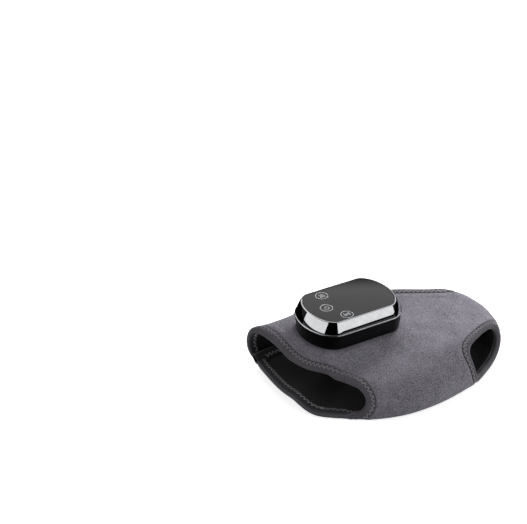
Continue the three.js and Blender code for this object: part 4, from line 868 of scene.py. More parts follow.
@dataclass
class WallMesh:
    """Points and faces of a patch of the wall, ready to be given depths."""

    points: np.ndarray
    inward: np.ndarray
    distance: np.ndarray
    faces: list[tuple[int, ...]]

    @classmethod
    def of_patch(cls, patch: WallPatch, heel: HeelOpening | None = None) -> "WallMesh":
        """Builds the mesh of a patch, round the heel opening where it has one.

        Args:
            patch: The patch of the wall.
            heel: The opening in it.

        Returns:
            The mesh, without the bound edges' outermost lines.
        """
        rows = np.flatnonzero(patch.end_distances >= patch.layers.lines[1])
        chosen = np.ix_(rows, np.arange(1, patch.grid[0].shape[1] - 1))
        place, along = (values[chosen] for values in patch.grid)
        points = patch.form.point(place, along).reshape(-1, 3)
        inward, distance = patch.inward[chosen].reshape(-1, 3), patch.distances[chosen].ravel()
        number = np.arange(place.size).reshape(place.shape)
        quads = np.stack([number[:-1, :-1], number[1:, :-1], number[1:, 1:], number[:-1, 1:]], -1)
        if heel is None:
            return cls(points, inward, distance, [tuple(face) for face in quads.reshape(-1, 4)])

        rings = tuple(values[:, 1:] for values in heel.rings)
        spots = GridSearch(place, along, patch.rows[rows, 0]).find(*rings)
        every = np.arange(heel.stops)[:, None]
        held = patch.normal_lines(np.array(patch.layers.lines))
        held = np.broadcast_to(held, heel.rings[0].shape)[:, 1:]
        ring_inward = patch.form.inward(*(patch.read(values, every, held) for values in heel.rings))
        ring_distance = np.broadcast_to(patch.layers.lines[1:], spots[0].shape)
        return cls(
            np.concatenate([points, patch.form.point(*rings).reshape(-1, 3)]),
            np.concatenate([inward, ring_inward.reshape(-1, 3)]),
            np.concatenate([distance, ring_distance.ravel()]),
            cls.faces_round(spots, number, quads),
        )

    @staticmethod
    def faces_round(spots: Places, number: np.ndarray, quads: np.ndarray) -> list[tuple[int, ...]]:
        """Makes a grid's faces round an opening, with triangles in a window round it.

        Args:
            spots: The rows and columns of the opening's rings, by stop, its edge first.
            number: The number of each point of the grid. The rings' points come after them.
            quads: The grid's faces.

        Returns:
            The points of each face.
        """
        window_margin, clear_margin, least_turn, tolerance = 3, 0.6, 1e-7, 1e-6
        low_row, low_column = (int(values.min()) - window_margin for values in spots)
        high_row, high_column = (int(values.max()) + window_margin + 1 for values in spots)
        window = [
            (row, column) for row in range(low_row, high_row + 1) for column in range(low_column, high_column + 1)
        ]
        outline = np.stack([values[:, -1] for values in spots], -1)
        inside = in_polygon(np.array(window, float), outline, clear_margin)
        fixed = [spot for spot, is_in in zip(window, inside) if not is_in]
        flat = np.concatenate([np.array(fixed, float), np.stack(spots, -1).reshape(-1, 2)])
        index = [number[spot] for spot in fixed] + list(number.size + np.arange(spots[0].size))
        made = delaunay_2d_cdt([Vector(spot) for spot in flat], [], [], 0, tolerance, True)
        stops, lines = spots[0].shape
        edge = {len(fixed) + stop * lines for stop in range(stops)}
        faces = []
        for triangle in made[2]:
            corners = [made[3][corner][0] for corner in triangle]
            (x1, y1), (x2, y2), (x3, y3) = (flat[corner] for corner in corners)
            turn = (x2 - x1) * (y3 - y1) - (x3 - x1) * (y2 - y1)
            if abs(turn) > least_turn and not edge.issuperset(corners):
                ordered = corners if turn > 0 else corners[::-1]
                faces.append(tuple(int(index[corner]) for corner in ordered))
        for row, column in np.ndindex(quads.shape[:2]):
            if not (low_row <= row < high_row and low_column <= column < high_column):
                faces.append(tuple(quads[row, column]))
        return faces

    def layer(self, name: str, outer: np.ndarray | float, inner: float) -> Piece:
        """Makes one closed layer between two depths.

        Args:
            name: The piece's name.
            outer: Depth of its outer face, or one for each point.
            inner: Depth of its inner face.

        Returns:
            The layer's object.
        """
        used = sorted({corner for face in self.faces for corner in face})
        renumber, count = {corner: number for number, corner in enumerate(used)}, len(used)
        depth = np.broadcast_to(outer, len(self.points))[used][:, None]
        points = np.concatenate([
            self.points[used] + self.inward[used] * depth,
            self.points[used] + self.inward[used] * inner,
        ])
        outside = [tuple(renumber[corner] for corner in face) for face in self.faces]
        inside = [tuple(corner + count for corner in reversed(face)) for face in outside]
        edges = {(face[place - 1], face[place]) for face in outside for place in range(len(face))}
        rim = [(a, b, b + count, a + count)[::-1] for a, b in edges if (b, a) not in edges]
        return make_mesh(name, points, outside + inside + rim)

    @property
    def area(self) -> float:
        """Area of the outer face, in square metres."""
        total = 0.0
        for face in self.faces:
            sides = self.points[list(face[1:])] - self.points[face[0]]
            total += np.linalg.norm(np.cross(sides[:-1], sides[1:]), axis=-1).sum() / 2
        return float(total)


def in_polygon(spots: np.ndarray, outline: np.ndarray, margin: float) -> np.ndarray:
    """Tells which spots lie inside a closed outline, or within a margin of its points.

    Args:
        spots: The spots.
        outline: The outline's points, in order.
        margin: The margin.

    Returns:
        True or false for each spot.
    """
    inside = np.zeros(len(spots), bool)
    for (x1, y1), (x2, y2) in zip(outline, np.roll(outline, -1, 0)):
        crosses = (y1 > spots[:, 1]) != (y2 > spots[:, 1])
        with np.errstate(divide="ignore", invalid="ignore"):
            inside ^= crosses & (spots[:, 0] < (x2 - x1) * (spots[:, 1] - y1) / (y2 - y1) + x1)
    near = np.min(np.linalg.norm(spots[:, None] - outline[None], axis=-1), 1) < margin
    return inside | near


def arc_lengths(points: np.ndarray) -> np.ndarray:
    """Returns the length along a line of points, from its first one."""
    return np.concatenate([[0.0], np.cumsum(np.linalg.norm(np.diff(points, axis=0), axis=-1))])


def points_at(line: np.ndarray, lengths: np.ndarray, stops: np.ndarray) -> np.ndarray:
    """Returns what a line of points or normals comes to at some of its lengths."""
    return np.stack([np.interp(stops, lengths, line[:, axis]) for axis in range(3)], -1)


def folded_tape(name: str, strips: Sequence[EdgeStrip], layers: WallLayers) -> Piece:
    """Makes the binding tape folded over one or more edges.

    Args:
        name: The piece's name.
        strips: The bound edges, each of which gets a length of tape.
        layers: The sizes of the tape.

    Returns:
        The tape's object, with a cloth map along its length.
    """
    section = layers.binding_section
    across = arc_lengths(np.array(section))
    last_length, last_across = 0.002, 0.001
    points, faces, uvs, first = [], [], [], 0
    for strip in strips:
        rings = np.stack([strip.line(distance, depth) for distance, depth in section], 1)
        lengths = arc_lengths(strip.line(layers.binding_width / 2, 0))
        count, size = len(rings), len(section)
        for ring in range(count if strip.closed else count - 1):
            here, ahead = first + ring * size, first + (ring + 1) % count * size
            u, v = lengths[ring], lengths[ring] + last_length if ring + 1 == count else lengths[ring + 1]
            for spot in range(size):
                after = (spot + 1) % size
                faces.append((here + spot, here + after, ahead + after, ahead + spot))
                end = across[spot] + last_across if after == 0 else across[after]
                uvs += [(u, across[spot]), (u, end), (v, end), (v, across[spot])]
        if not strip.closed:
            for start in (first, first + (count - 1) * size):
                faces.append(tuple(range(start, start + size)))
                uvs += [(0.0, 0.0)] * size
        points.append(rings.reshape(-1, 3))
        first += count * size
    piece = make_mesh(name, np.concatenate(points), faces, np.array(uvs))
    face_out(piece)
    return piece


@dataclass(frozen=True)
class Zigzag:
    """The zigzag seam that holds a binding down: one stitch after another, of light thread."""

    pitch: float = 0.0022
    near: float = 0.0049
    far: float = 0.0085
    thread: float = 0.0003
    proud: float = 0.00022
    sides: int = 5
    floor_gap: float = 0.00002
    rings: Rows = ((0.02, -1.0, 0.5), (0.2, 1.0, 1.0), (0.8, 1.0, 1.0), (0.98, -1.0, 0.5))

    def seam(self, strip: EdgeStrip, layers: WallLayers, outside: bool) -> np.ndarray:
        """Returns the points of the stitches' tubes along one face of a bound edge.

        Args:
            strip: The bound edge.
            layers: The wall's layers, for the depths that the thread lies at.
            outside: Whether the seam is on the suede face.

        Returns:
            Points by stitch, ring and side.
        """
        depths = [layers.tape_depth(distance) for distance in (self.near, self.far)]
        if not outside:
            depths = [layers.binding_depth - depth for depth in depths]
        lines = [strip.line(distance, depth) for distance, depth in zip((self.near, self.far), depths)]
        out = -strip.inward if outside else strip.inward
        if strip.closed:
            lines = [np.concatenate([line, line[:1]]) for line in lines]
            out = np.concatenate([out, out[:1]])
        lengths = arc_lengths((lines[0] + lines[1]) / 2)
        count = max(int(lengths[-1] / self.pitch), 2)
        stops = np.linspace(0.5 * self.pitch, lengths[-1] - 0.5 * self.pitch, count)
        near, far, normal = (points_at(line, lengths, stops) for line in (*lines, out))
        points = np.where((np.arange(count) % 2 == 0)[:, None], near, far)
        start, end, normal = points[:-1], points[1:], unit(normal)[:-1]
        side = unit(np.cross(end - start, normal))
        turns = (np.arange(self.sides) / self.sides * math.tau)[None, :, None]
        around = np.cos(turns) * normal[:, None] + np.sin(turns) * side[:, None]
        rings = []
        for share, rise, size in self.rings:
            centre = mix(start, end, share) + normal * (self.proud * rise)
            rings.append(centre[:, None] + around * self.thread * size)
        made = np.stack(rings, 1)
        made[..., 2] = np.maximum(made[..., 2], self.floor_gap)
        return made

    def piece(self, name: str, seams: Sequence[np.ndarray]) -> Piece:
        """Makes the stitches of one or more seams as one piece.

        Args:
            name: The piece's name.
            seams: The stitches' points.

        Returns:
            The stitches' object.
        """
        stitches = np.concatenate(seams)
        number = np.arange(stitches[..., 0].size).reshape(stitches.shape[:3])
        turned = np.roll(number, -1, 2)
        walls = np.stack([number[:, :-1], turned[:, :-1], turned[:, 1:], number[:, 1:]], -1).reshape(-1, 4)
        piece = make_mesh(name, stitches, [*walls, *number[:, 0, ::-1], *number[:, -1]])
        face_out(piece)
        return piece


@dataclass
class Sleeve:
    """The wound suede sleeve: its wall and lining, its bound edges, their seams, and its flap."""

    looks: "Looks"
    form: SleeveForm = field(default_factory=SleeveForm)
    layers: WallLayers = field(default_factory=WallLayers)
    zigzag: Zigzag = field(default_factory=Zigzag)
    stretch_rows: tuple[int, ...] = (40, 16, 16, 26, 60, 22)
    foot_rows: int = 18
    hinge_rows: int = 13
    flap_rows: int = 10
    hinge_places: Pair = (7.9, 8.147)
    flap_rows_end: float = 8.56
    end_rows_per_metre: float = 56.0
    flap_rows_per_metre: float = 28.0
    bound_lines: int = 5
    dent: float = 0.0007
    dent_waves: tuple[float, ...] = (150, 95, 120, 61, 83)
    dent_clear: Pair = (0.014, 0.02)
    dent_height: float = 0.012
    hinge_share: float = 0.98
    hook: Triple = (0.00016, 0.0004, 0.00035)
    hook_tip_shares: Pair = (0.7, 1.25)
    hook_pitch: float = 0.0014
    hook_root: float = 0.00005
    web_share: float = 0.4
    probe_margin_share: float = 1.04
    probe_rise: float = 0.01

    def free_rows(self, places: np.ndarray) -> np.ndarray:
        """Returns a patch's rows at set places round the wall."""
        return np.stack([places, np.zeros_like(places), np.zeros_like(places)], 1)

    def end_rows(self, edge: EndEdge) -> np.ndarray:
        """Returns a patch's rows at set distances from its end edge, in their order round the wall.

        Args:
            edge: Which end it is.

        Returns:
            The rows.
        """
        distances = np.array(self.layers.lines[:-1])
        places = distances * self.end_rows_per_metre
        if edge is EndEdge.FLAP:
            distances = distances[::-1]
            places = FLAP_END - distances * self.flap_rows_per_metre
        return np.stack([places, distances, np.ones_like(distances)], 1)

    @cached_property
    def wall(self) -> WallPatch:
        """The wall, from its inner end to just before the flap's hinge."""
        places = [np.array([1.0])]
        for stretch, count in enumerate(self.stretch_rows, 1):
            places.append(np.linspace(stretch, stretch + 1, count + 1)[1:])
        places.append(np.linspace(FOLD_FOOT, self.hinge_places[0], self.foot_rows + 1)[1:])
        rows = np.concatenate([self.end_rows(EndEdge.INNER), self.free_rows(np.concatenate(places))])
        return WallPatch(self.form, self.layers, rows, EndEdge.INNER)

    @cached_property
    def hinge(self) -> WallPatch:
        """The strip of the wall that bends on the flap's hinge line."""
        places = np.linspace(*self.hinge_places, self.hinge_rows)
        return WallPatch(self.form, self.layers, self.free_rows(places))

    @cached_property
    def flap(self) -> WallPatch:
        """The closure flap, which lies flat under the sleeve."""
        places = np.linspace(self.hinge_places[1], self.flap_rows_end, self.flap_rows)
        rows = np.concatenate([self.free_rows(places), self.end_rows(EndEdge.FLAP)])
        return WallPatch(self.form, self.layers, rows, EndEdge.FLAP)

    def dents(self, mesh: WallMesh) -> np.ndarray:
        """Returns how far the suede's hand-made unevenness sinks its face, away from the edges.

        Args:
            mesh: The part of the wall.

        Returns:
            A depth for each point.
        """
        x, y, z = (mesh.points - self.form.origin).T
        a, b, c, d, e = self.dent_waves
        wave = np.sin(x * a + 1.3 * np.sin(y * b)) * np.sin(y * c + 2) + 0.5 * np.sin(x * d - y * e)
        clear, fade = self.dent_clear
        free = smooth((mesh.distance - clear) / fade) * smooth(z / self.dent_height)
        platform = self.form.platform_share(np.stack([x, y], -1))
        return self.dent * smooth((wave + 1.5) / 3) * free * (1 - platform)

    def suede(self, name: str, mesh: WallMesh) -> Piece:
        """Makes the suede face of a part of the wall, pressed in along its bindings."""
        depth = self.layers.suede_depth(mesh.distance) + self.dents(mesh)
        return self.looks.dress(mesh.layer(name, depth, self.layers.shell), "grey_suede")

    def lining(self, name: str, mesh: WallMesh) -> Piece:
        """Makes the knit lining of a part of the wall."""
        piece = mesh.layer(name, self.layers.lining_face, self.layers.lining_back)
        return self.looks.dress(piece, "black_knit")

    def tape(self, name: str, strips: Sequence[EdgeStrip]) -> Piece:
        """Makes the binding tape of some edges."""
        return self.looks.dress(folded_tape(name, strips, self.layers), "dark_binding")

    def seam(self, name: str, strips: Sequence[EdgeStrip]) -> Piece:
        """Makes the zigzag seams of some edges, on the suede side and on the lining side."""
        seams = [self.zigzag.seam(strip, self.layers, outside) for strip in strips for outside in (True, False)]
        return self.looks.dress(self.zigzag.piece(name, seams), "dark_binding", "sewing_thread")

    def declare(self, patch: WallPatch, mesh: WallMesh, suede: Piece, lining: Piece) -> None:
        """Args:
            patch: The part of the wall.
            mesh: The mesh of that part.
            suede: Its suede.
            lining: Its lining.
        """
        points = patch.form.point(*patch.grid)
        flat = tuple(
            float(np.linalg.norm(np.diff(points, axis=axis), axis=-1).sum(axis).max()) for axis in (0, 1)
        )
        area = min(mesh.area, flat[0] * flat[1])
        LOG.info("%s and %s cut %.0f x %.0f mm", suede.name, lining.name, flat[0] * 1000, flat[1] * 1000)

    def build_wall(self) -> None:
        """Builds the wall with its openings."""
        heel = HeelOpening(self.wall, self.form, self.layers)
        mesh = WallMesh.of_patch(self.wall, heel)
        suede, lining = self.suede("suede_wrap", mesh), self.lining("knit_lining", mesh)
        strips = {
            "foot": self.wall.opening_strip(Opening.FOOT),
            "leg": self.wall.opening_strip(Opening.LEG),
            "inner_end": self.wall.end_strip(),
            "heel": EdgeStrip(self.form, *heel.rings, self.layers.lines, closed=True),
        }
        tapes = [self.tape(f"{name}_tape", [strip]) for name, strip in strips.items()]
        strips["inner_end"] = strips["inner_end"].trimmed(self.bound_lines)
        seams = [self.seam(f"{name}_seam", [strip]) for name, strip in strips.items()]
        nodes = ["outer_shell", "lining", *(f"{name}_binding" for name in strips)]
        mount([suede, lining, *tapes, *seams], nodes, "wrap")
        self.declare(self.wall, mesh, suede, lining)

    def build_flap(self) -> None:
        """Builds the closure flap."""
        mesh = WallMesh.of_patch(self.flap)
        suede, lining = self.suede("suede_flap", mesh), self.lining("knit_flap_lining", mesh)
        sides, end = [*map(self.flap.opening_strip, Opening)], self.flap.end_strip()
        tape = self.tape("flap_tape", [*sides, end])
        seam = self.seam("flap_seam", [*sides, end.trimmed(self.bound_lines)])
        mount([suede, lining, tape, seam], ["flap_shell", "flap_lining", "flap_binding"], "closure_flap")
        self.declare(self.flap, mesh, suede, lining)

    def build_hooks(self) -> None:
        """Builds the hook strip on the flap: a thin web with rows of small bent hooks."""
        node = frame["nodes"]["hook_strip"]
        web = np.array([node.matrix_world @ vertex.co for vertex in node.data.vertices])
        low, high, middle = web.min(0), web.max(0), web.mean(0)
        top = mix(low[2], high[2], self.web_share)
        web[:, 2] = np.where(web[:, 2] > middle[2], top, low[2])
        faces = [tuple(face.vertices) for face in node.data.polygons]
        _, normal = self.form.hinge
        ways = np.array([[normal[1], -normal[0], 0.0], [*normal, 0.0], [0.0, 0.0, 1.0]])
        half, rise, over = self.hook
        narrow, tip = self.hook_tip_shares
        turns = (np.arange(4) + 0.5) * math.pi / 2
        ring = np.stack([np.cos(turns) * half, np.sin(turns) * half, np.zeros(4)], 1)
        stem = np.concatenate([ring, ring + (0, 0, rise), ring * narrow + (0, over, rise * tip)])
        walls = [(r + s, r + (s + 1) % 4, r + 4 + (s + 1) % 4, r + 4 + s) for r in (0, 4) for s in range(4)]
        hook_faces = np.array([*walls, (3, 2, 1, 0), (8, 9, 10, 11)])
        pieces, count, reach = [web], len(web), float(np.linalg.norm(high - low) / 2)
        steps = np.arange(-reach, reach, self.hook_pitch)
        back = node.matrix_world.inverted()
        for number, (u, v) in enumerate((u, v) for u in steps for v in steps):
            way = (np.array([u, v, 0.0]) @ ways)[:2]
            probe = Vector((*(middle[:2] + way * self.probe_margin_share), high[2] + self.probe_rise))
            if node.ray_cast(back @ probe, (0, 0, -1))[0]:
                side = -1 if number % 2 else 1
                place = np.array([*(middle[:2] + way), top - self.hook_root])
                pieces.append(place + (stem * (side, side, 1)) @ ways)
                faces += (hook_faces + count).tolist()
                count += len(stem)
        strip = make_mesh("hook_web", np.concatenate(pieces), faces)
        face_out(strip)
        self.looks.dress(strip, "hook_tape")
        mount([strip], ["hook_strip"], "closure_flap")

    def build_hinge(self) -> None:
        """Builds the strip of cloth on the hinge line where the flap folds out; it works out the hinge's ends but
        doesn't use them.
        """
        mesh = WallMesh.of_patch(self.hinge)
        suede, lining = self.suede("suede_hinge", mesh), self.lining("knit_hinge_lining", mesh)
        sides = [*map(self.hinge.opening_strip, Opening)]
        tape, seam = self.tape("hinge_tape", sides), self.seam("hinge_seam", sides)
        self.declare(self.hinge, mesh, suede, lining)
        point, normal = self.form.hinge
        low, high = (self.form.point(*(values[row] for values in self.hinge.grid)) for row in (0, -1))
        across = [(side - self.form.origin)[:, :2] @ normal - point @ normal for side in (low, high)]
        reach, half = self.hinge_share * min(np.abs(side).min() for side in across), len(low) // 2
        middle = low[half] - np.append(normal, 0) * across[0][half]
        step = np.append(normal, 0) * math.copysign(reach, across[1].mean())
        start, end = tuple(map(float, middle - step)), tuple(map(float, middle + step))
        for piece in (suede, lining, tape, seam):
            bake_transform(piece)

    def build(self) -> None:
        """Builds all of the sleeve."""
        self.build_wall()
        self.build_flap()
        self.build_hooks()
        self.build_hinge()


def linear(red: float, green: float, blue: float) -> tuple[float, float, float, float]:
    """Returns the scene colour of a shade given as 8-bit red, green and blue."""
    shades = [value / 255 for value in (red, green, blue)]
    return (*(s / 12.92 if s <= 0.04045 else ((s + 0.055) / 1.055) ** 2.4 for s in shades), 1.0)


WHITE = linear(255, 255, 255)


@dataclass(frozen=True)
class Signal:
    """A value in a material, on which sums are written as in Python."""

    graph: "Nodes"
    socket: bpy.types.NodeSocket

    def math(self, operation: str, left: Any, right: Any = 0.0) -> "Signal":
        """Returns the result of one operation on two values."""
        return self.graph.node("ShaderNodeMath", {"operation": operation}, {0: left, 1: right})

    def __add__(self, other: Any) -> "Signal":
        """Returns the sum."""
        return self.math("ADD", self, other)

    def __sub__(self, other: Any) -> "Signal":
        """Returns the difference."""
        return self.math("SUBTRACT", self, other)

    def __rsub__(self, other: Any) -> "Signal":
        """Returns the difference from a number."""
        return self.math("SUBTRACT", other, self)

    def __mul__(self, other: Any) -> "Signal":
        """Returns the product."""
        return self.math("MULTIPLY", self, other)

    __radd__ = __add__
    __rmul__ = __mul__

    def between(self, low: float, high: float) -> "Signal":
        """Returns 0 below low, 1 above high, and a smooth step between."""
        step = {"interpolation_type": "SMOOTHSTEP"}
        return self.graph.node("ShaderNodeMapRange", step, {0: self, 1: low, 2: high})


@dataclass
class Nodes:
    """The nodes of a material or of the world."""

    tree: bpy.types.NodeTree

    def node(self, kind: str, settings: dict[str, Any], inputs: dict[Any, Any], output: Any = 0) -> Signal:
        """Adds a node.

        Args:
            kind: The node's type.
            settings: Its own settings, which are set first.
            inputs: Values or signals of its sockets.
            output: The output that is wanted.

        Returns:
            The output's signal.
        """
        made = self.tree.nodes.new(kind)
        for name, value in settings.items():
            setattr(made, name, value)
        for key, value in inputs.items():
            self.feed(made.inputs[key], value)
        return Signal(self, made.outputs[output])

    def feed(self, socket: bpy.types.NodeSocket, value: Any) -> None:
        """Links a signal to a socket, or sets the socket's value.

        Args:
            socket: The socket.
            value: What it gets.
        """
        if isinstance(value, Signal):
            self.tree.links.new(value.socket, socket)
        else:
            socket.default_value = value

    def path(self, output: str) -> Signal:
        """Returns 1 for rays of one kind, else 0."""
        return self.node("ShaderNodeLightPath", {}, {}, output)

    def tint(self, factor: Any, low: Any, high: Any) -> Signal:
        """Returns a colour between two."""
        return self.node("ShaderNodeMix", {"data_type": "RGBA"}, {0: factor, 6: low, 7: high}, 2)


class Graph(Nodes):
    """The nodes of one material, round a Principled shader."""

    def __init__(self, name: str) -> None:
        """Starts an empty material.

        Args:
            name: The material's name.
        """
        self.material = bpy.data.materials.new(name)
        self.material.use_nodes = True
        super().__init__(self.material.node_tree)
        self.shader = next(node for node in self.tree.nodes if node.type == "BSDF_PRINCIPLED")

    @cached_property
    def place(self) -> Signal:
        """Place on the object, in metres."""
        return self.node("ShaderNodeTexCoord", {}, {}, "Object")

    def parts(self, place: Signal) -> list[Signal]:
        """Returns the three parts of a place."""
        outputs = self.node("ShaderNodeSeparateXYZ", {}, {0: place}).socket.node.outputs
        return [Signal(self, outputs[axis]) for axis in range(3)]

    def stretched(self, scale: Triple) -> Signal:
        """Returns the place with each part scaled."""
        return self.node("ShaderNodeMapping", {}, {"Vector": self.place, "Scale": scale})

    def noise(self, scale: float, detail: float = 3.0, place: Signal | None = None) -> Signal:
        """Returns soft noise around a half, with a number of waves in each metre."""
        inputs = {"Vector": place or self.place, "Scale": scale, "Detail": detail, "Roughness": 0.6}
        return self.node("ShaderNodeTexNoise", {}, inputs)

    def cells(self, scale: float) -> Signal:
        """Returns the distance in a pattern of irregular cells."""
        return self.node("ShaderNodeTexVoronoi", {"feature": "F1"}, {"Vector": self.place, "Scale": scale})

    def ribs(self, across: Signal, pitch: float) -> Signal:
        """Returns ribs from 0 to 1, repeated at a pitch in metres along a value."""
        return across.math("SINE", across * (math.tau / pitch)) * 0.5 + 0.5

    def raise_by(self, height: Signal, depth: float) -> Signal:
        """Returns the normals of a relief of a depth in metres."""
        return self.node("ShaderNodeBump", {}, {"Height": height, "Distance": depth, "Strength": 1.0})

    def finish(self, **sockets: Any) -> bpy.types.Material:
        """Sets the shader's sockets, with words joined by underscores, and returns the material.

        Args:
            sockets: The values.

        Returns:
            The material.
        """
        for name, value in sockets.items():
            self.feed(self.shader.inputs[name.replace("_", " ").title().replace("Ior", "IOR")], value)
        return self.material


@dataclass(frozen=True)
class Finish:
    """A finish that runs from a dark to a light shade."""

    dark: Triple
    light: Triple

    def colour(self, graph: Graph, tone: Signal) -> Signal:
        """Returns the shade at a tone from 0 to 1."""
        return graph.tint(tone, linear(*self.dark), linear(*self.light))

    def sockets(self, graph: Graph) -> dict[str, Any]:
        """Mixes the finish, and returns the shader's values."""
        raise NotImplementedError

    def material(self, name: str) -> bpy.types.Material:
        """Makes the material."""
        graph = Graph(name)
        return graph.finish(**self.sockets(graph))


@dataclass(frozen=True)
class Nap(Finish):
    """Grey suede: a short nap with brushed patches and a dusty sheen."""

    dark: Triple = (68, 66, 74)
    light: Triple = (170, 166, 177)
    sheen: float = 0.35
    depth: float = 0.00022

    def sockets(self, graph: Graph) -> dict[str, Any]:
        """Mixes the finish.

        Args:
            graph: The material's nodes.

        Returns:
            The shader's values.
        """
        patches = graph.noise(24, 4)
        brushed = graph.noise(130, 5, graph.stretched((1, 0.45, 1)))
        nap = graph.noise(1050, 6).between(0.26, 0.74)
        fibres = graph.noise(2600, 2)
        tone = patches * 0.35 + brushed * 0.3 + nap * 0.6 + fibres * 0.2
        colour = self.colour(graph, tone.between(0.25, 1.21))
        relief = graph.raise_by(nap * 0.5 + fibres * 0.5 + brushed * 0.6, self.depth)
        return dict(
            base_color=colour, roughness=0.96, normal=relief, sheen_weight=self.sheen, sheen_roughness=0.55,
            sheen_tint=linear(206, 204, 214), specular_ior_level=0.2,
        )


@dataclass(frozen=True)
class Knit(Finish):
    """Black brushed knit: columns of small loops under a soft fuzz."""

    dark: Triple = (13, 12, 15)
    light: Triple = (32, 31, 35)
    loop: float = 0.0011

    def sockets(self, graph: Graph) -> dict[str, Any]:
        """Mixes the finish.

        Args:
            graph: The material's nodes.

        Returns:
            The shader's values.
        """
        x, y, z = graph.parts(graph.place)
        columns = graph.ribs(x + y * 0.35, self.loop)
        rows = graph.ribs(z + y * 0.8 - x * 0.2 + columns * (0.25 * self.loop), self.loop * 0.8)
        fuzz = graph.noise(1500, 4)
        loops = columns * rows
        colour = self.colour(graph, (loops * 0.6 + fuzz * 0.7).between(0.25, 0.95))
        relief = graph.raise_by(loops + fuzz * 0.8, 0.00022)
        return dict(
            base_color=colour, roughness=0.93, normal=relief, sheen_weight=0.2, sheen_roughness=0.5,
            specular_ior_level=0.25,
        )


@dataclass(frozen=True)
class Ribbed(Finish):
    """Dark binding tape, woven with fine ribs across its length. Painted shade turns its fold and lining side
    nearly black, and a painted shadow line runs along its outer edge by the suede.
    """

    dark: Triple = (76, 73, 79)
    light: Triple = (112, 108, 115)
    # Painted shade: the near-black colour that the tape's fold and lining side fade to, standing in for the shade
    # inside the openings.
    inner_face_shade: Triple = (26, 25, 28)
    inner_face_shade_share: float = 0.85
    inner_face_shade_across: Pair = (0.0115, 0.0155)
    rib: float = 0.00075
    # Width of the painted shadow line along the tape's outer edge next to the suede.
    edge_shadow_width: float = 0.0009

    def sockets(self, graph: Graph) -> dict[str, Any]:
        """Mixes the finish.

        Args:
            graph: The material's nodes.

        Returns:
            The shader's values.
        """
        cloth = graph.node("ShaderNodeUVMap", {"uv_map": "cloth"}, {})
        length, across, _ = graph.parts(cloth)
        ribs = graph.ribs(length, self.rib)
        threads = graph.ribs(across + ribs * (0.3 * self.rib), self.rib * 0.6)
        fuzz, patches = graph.noise(1900, 3), graph.noise(60, 4)
        # Painted shadow: the tone darkens within this width of the tape's outer edge, where the suede's shoulder
        # would shade it.
        edge = 1 - across.between(0.0002, self.edge_shadow_width)
        tone = ribs * 0.28 + threads * 0.16 + fuzz * 0.4 + patches * 0.4 - edge * 0.3
        faced = self.colour(graph, tone.between(0.2, 0.95))
        # Painted shade: from the middle of the fold on, the tape fades towards the near-black painted shade
        # colour.
        colour = graph.tint(across.between(*self.inner_face_shade_across) * self.inner_face_shade_share, faced, linear(*self.inner_face_shade))
        relief = graph.raise_by(ribs + threads * 0.6 + fuzz * 0.6, 0.0001)
        return dict(
            base_color=colour, roughness=0.8, normal=relief, sheen_weight=0.25, sheen_roughness=0.4,
            specular_ior_level=0.3,
        )


@dataclass(frozen=True)
class Thread(Finish):
    """Light grey sewing thread."""

    dark: Triple = (140, 137, 143)
    light: Triple = (206, 203, 209)

    def sockets(self, graph: Graph) -> dict[str, Any]:
        """Mixes the finish.

        Args:
            graph: The material's nodes.

        Returns:
            The shader's values.
        """
        x, y, z = graph.parts(graph.place)
        twist = graph.ribs(x + y + z, 0.0004)
        fuzz = graph.noise(2200, 2)
        colour = self.colour(graph, (twist * 0.4 + fuzz * 0.8).between(0.3, 0.9))
        return dict(
            base_color=colour, roughness=0.7, normal=graph.raise_by(twist, 0.00006), sheen_weight=0.2,
        )


@dataclass(frozen=True)
class HookTape(Finish):
    """Black hook tape: rows of small stiff hooks."""

    dark: Triple = (15, 15, 17)
    light: Triple = (48, 47, 51)
    pitch: float = 0.0013

    def sockets(self, graph: Graph) -> dict[str, Any]:
        """Mixes the finish.

        Args:
            graph: The material's nodes.

        Returns:
            The shader's values.
        """
        x, y, _ = graph.parts(graph.place)
        hooks = graph.ribs(x * 0.92 + y * 0.38, self.pitch) * graph.ribs(y * 0.92 - x * 0.38, self.pitch)
        fuzz = graph.noise(1400, 3)
        colour = self.colour(graph, (hooks * 0.8 + fuzz * 0.3).between(0.2, 0.9))
        return dict(base_color=colour, roughness=0.55, normal=graph.raise_by(hooks, 0.0006))


@dataclass(frozen=True)
class Glass(Finish):
    """Smoked glass: a deep dark pane with a polished face and the faintest smears."""

    dark: Triple = (15, 15, 17)
    light: Triple = (22, 22, 25)

    def sockets(self, graph: Graph) -> dict[str, Any]:
        """Mixes the finish.

        Args:
            graph: The material's nodes.

        Returns:
            The shader's values.
        """
        smear = graph.noise(38, 5, graph.stretched((1, 0.3, 1)))
        dust = graph.noise(1700, 2)
        tone = smear.between(0.35, 0.75)
        colour = self.colour(graph, tone * 0.5 + dust * 0.2)
        return dict(
            base_color=colour, roughness=tone * 0.05 + 0.035, ior=1.52, coat_weight=0.15, coat_roughness=0.03,
        )


@dataclass(frozen=True)
class Hard(Finish):
    """A moulded, rolled, plated or printed finish, with its own grain."""

    roughness: float = 0.5
    spread: float = 0.08
    metallic: float = 0.0
    grain: float = 900.0
    depth: float = 0.00003
    stretch: Triple = (1.0, 1.0, 1.0)
    coat: float = 0.0
    shine: float = 0.5

    def sockets(self, graph: Graph) -> dict[str, Any]:
        """Mixes the finish.

        Args:
            graph: The material's nodes.

        Returns:
            The shader's values.
        """
        grain = graph.noise(self.grain, 3, graph.stretched(self.stretch))
        wear = graph.noise(70, 5)
        tone = (grain * 0.5 + wear * 0.6).between(0.35, 0.8)
        colour = self.colour(graph, tone)
        return dict(
            base_color=colour, roughness=wear.between(0.3, 0.75) * self.spread + self.roughness,
            metallic=self.metallic, normal=graph.raise_by(grain, self.depth), coat_weight=self.coat,
            coat_roughness=0.08, specular_ior_level=self.shine,
        )


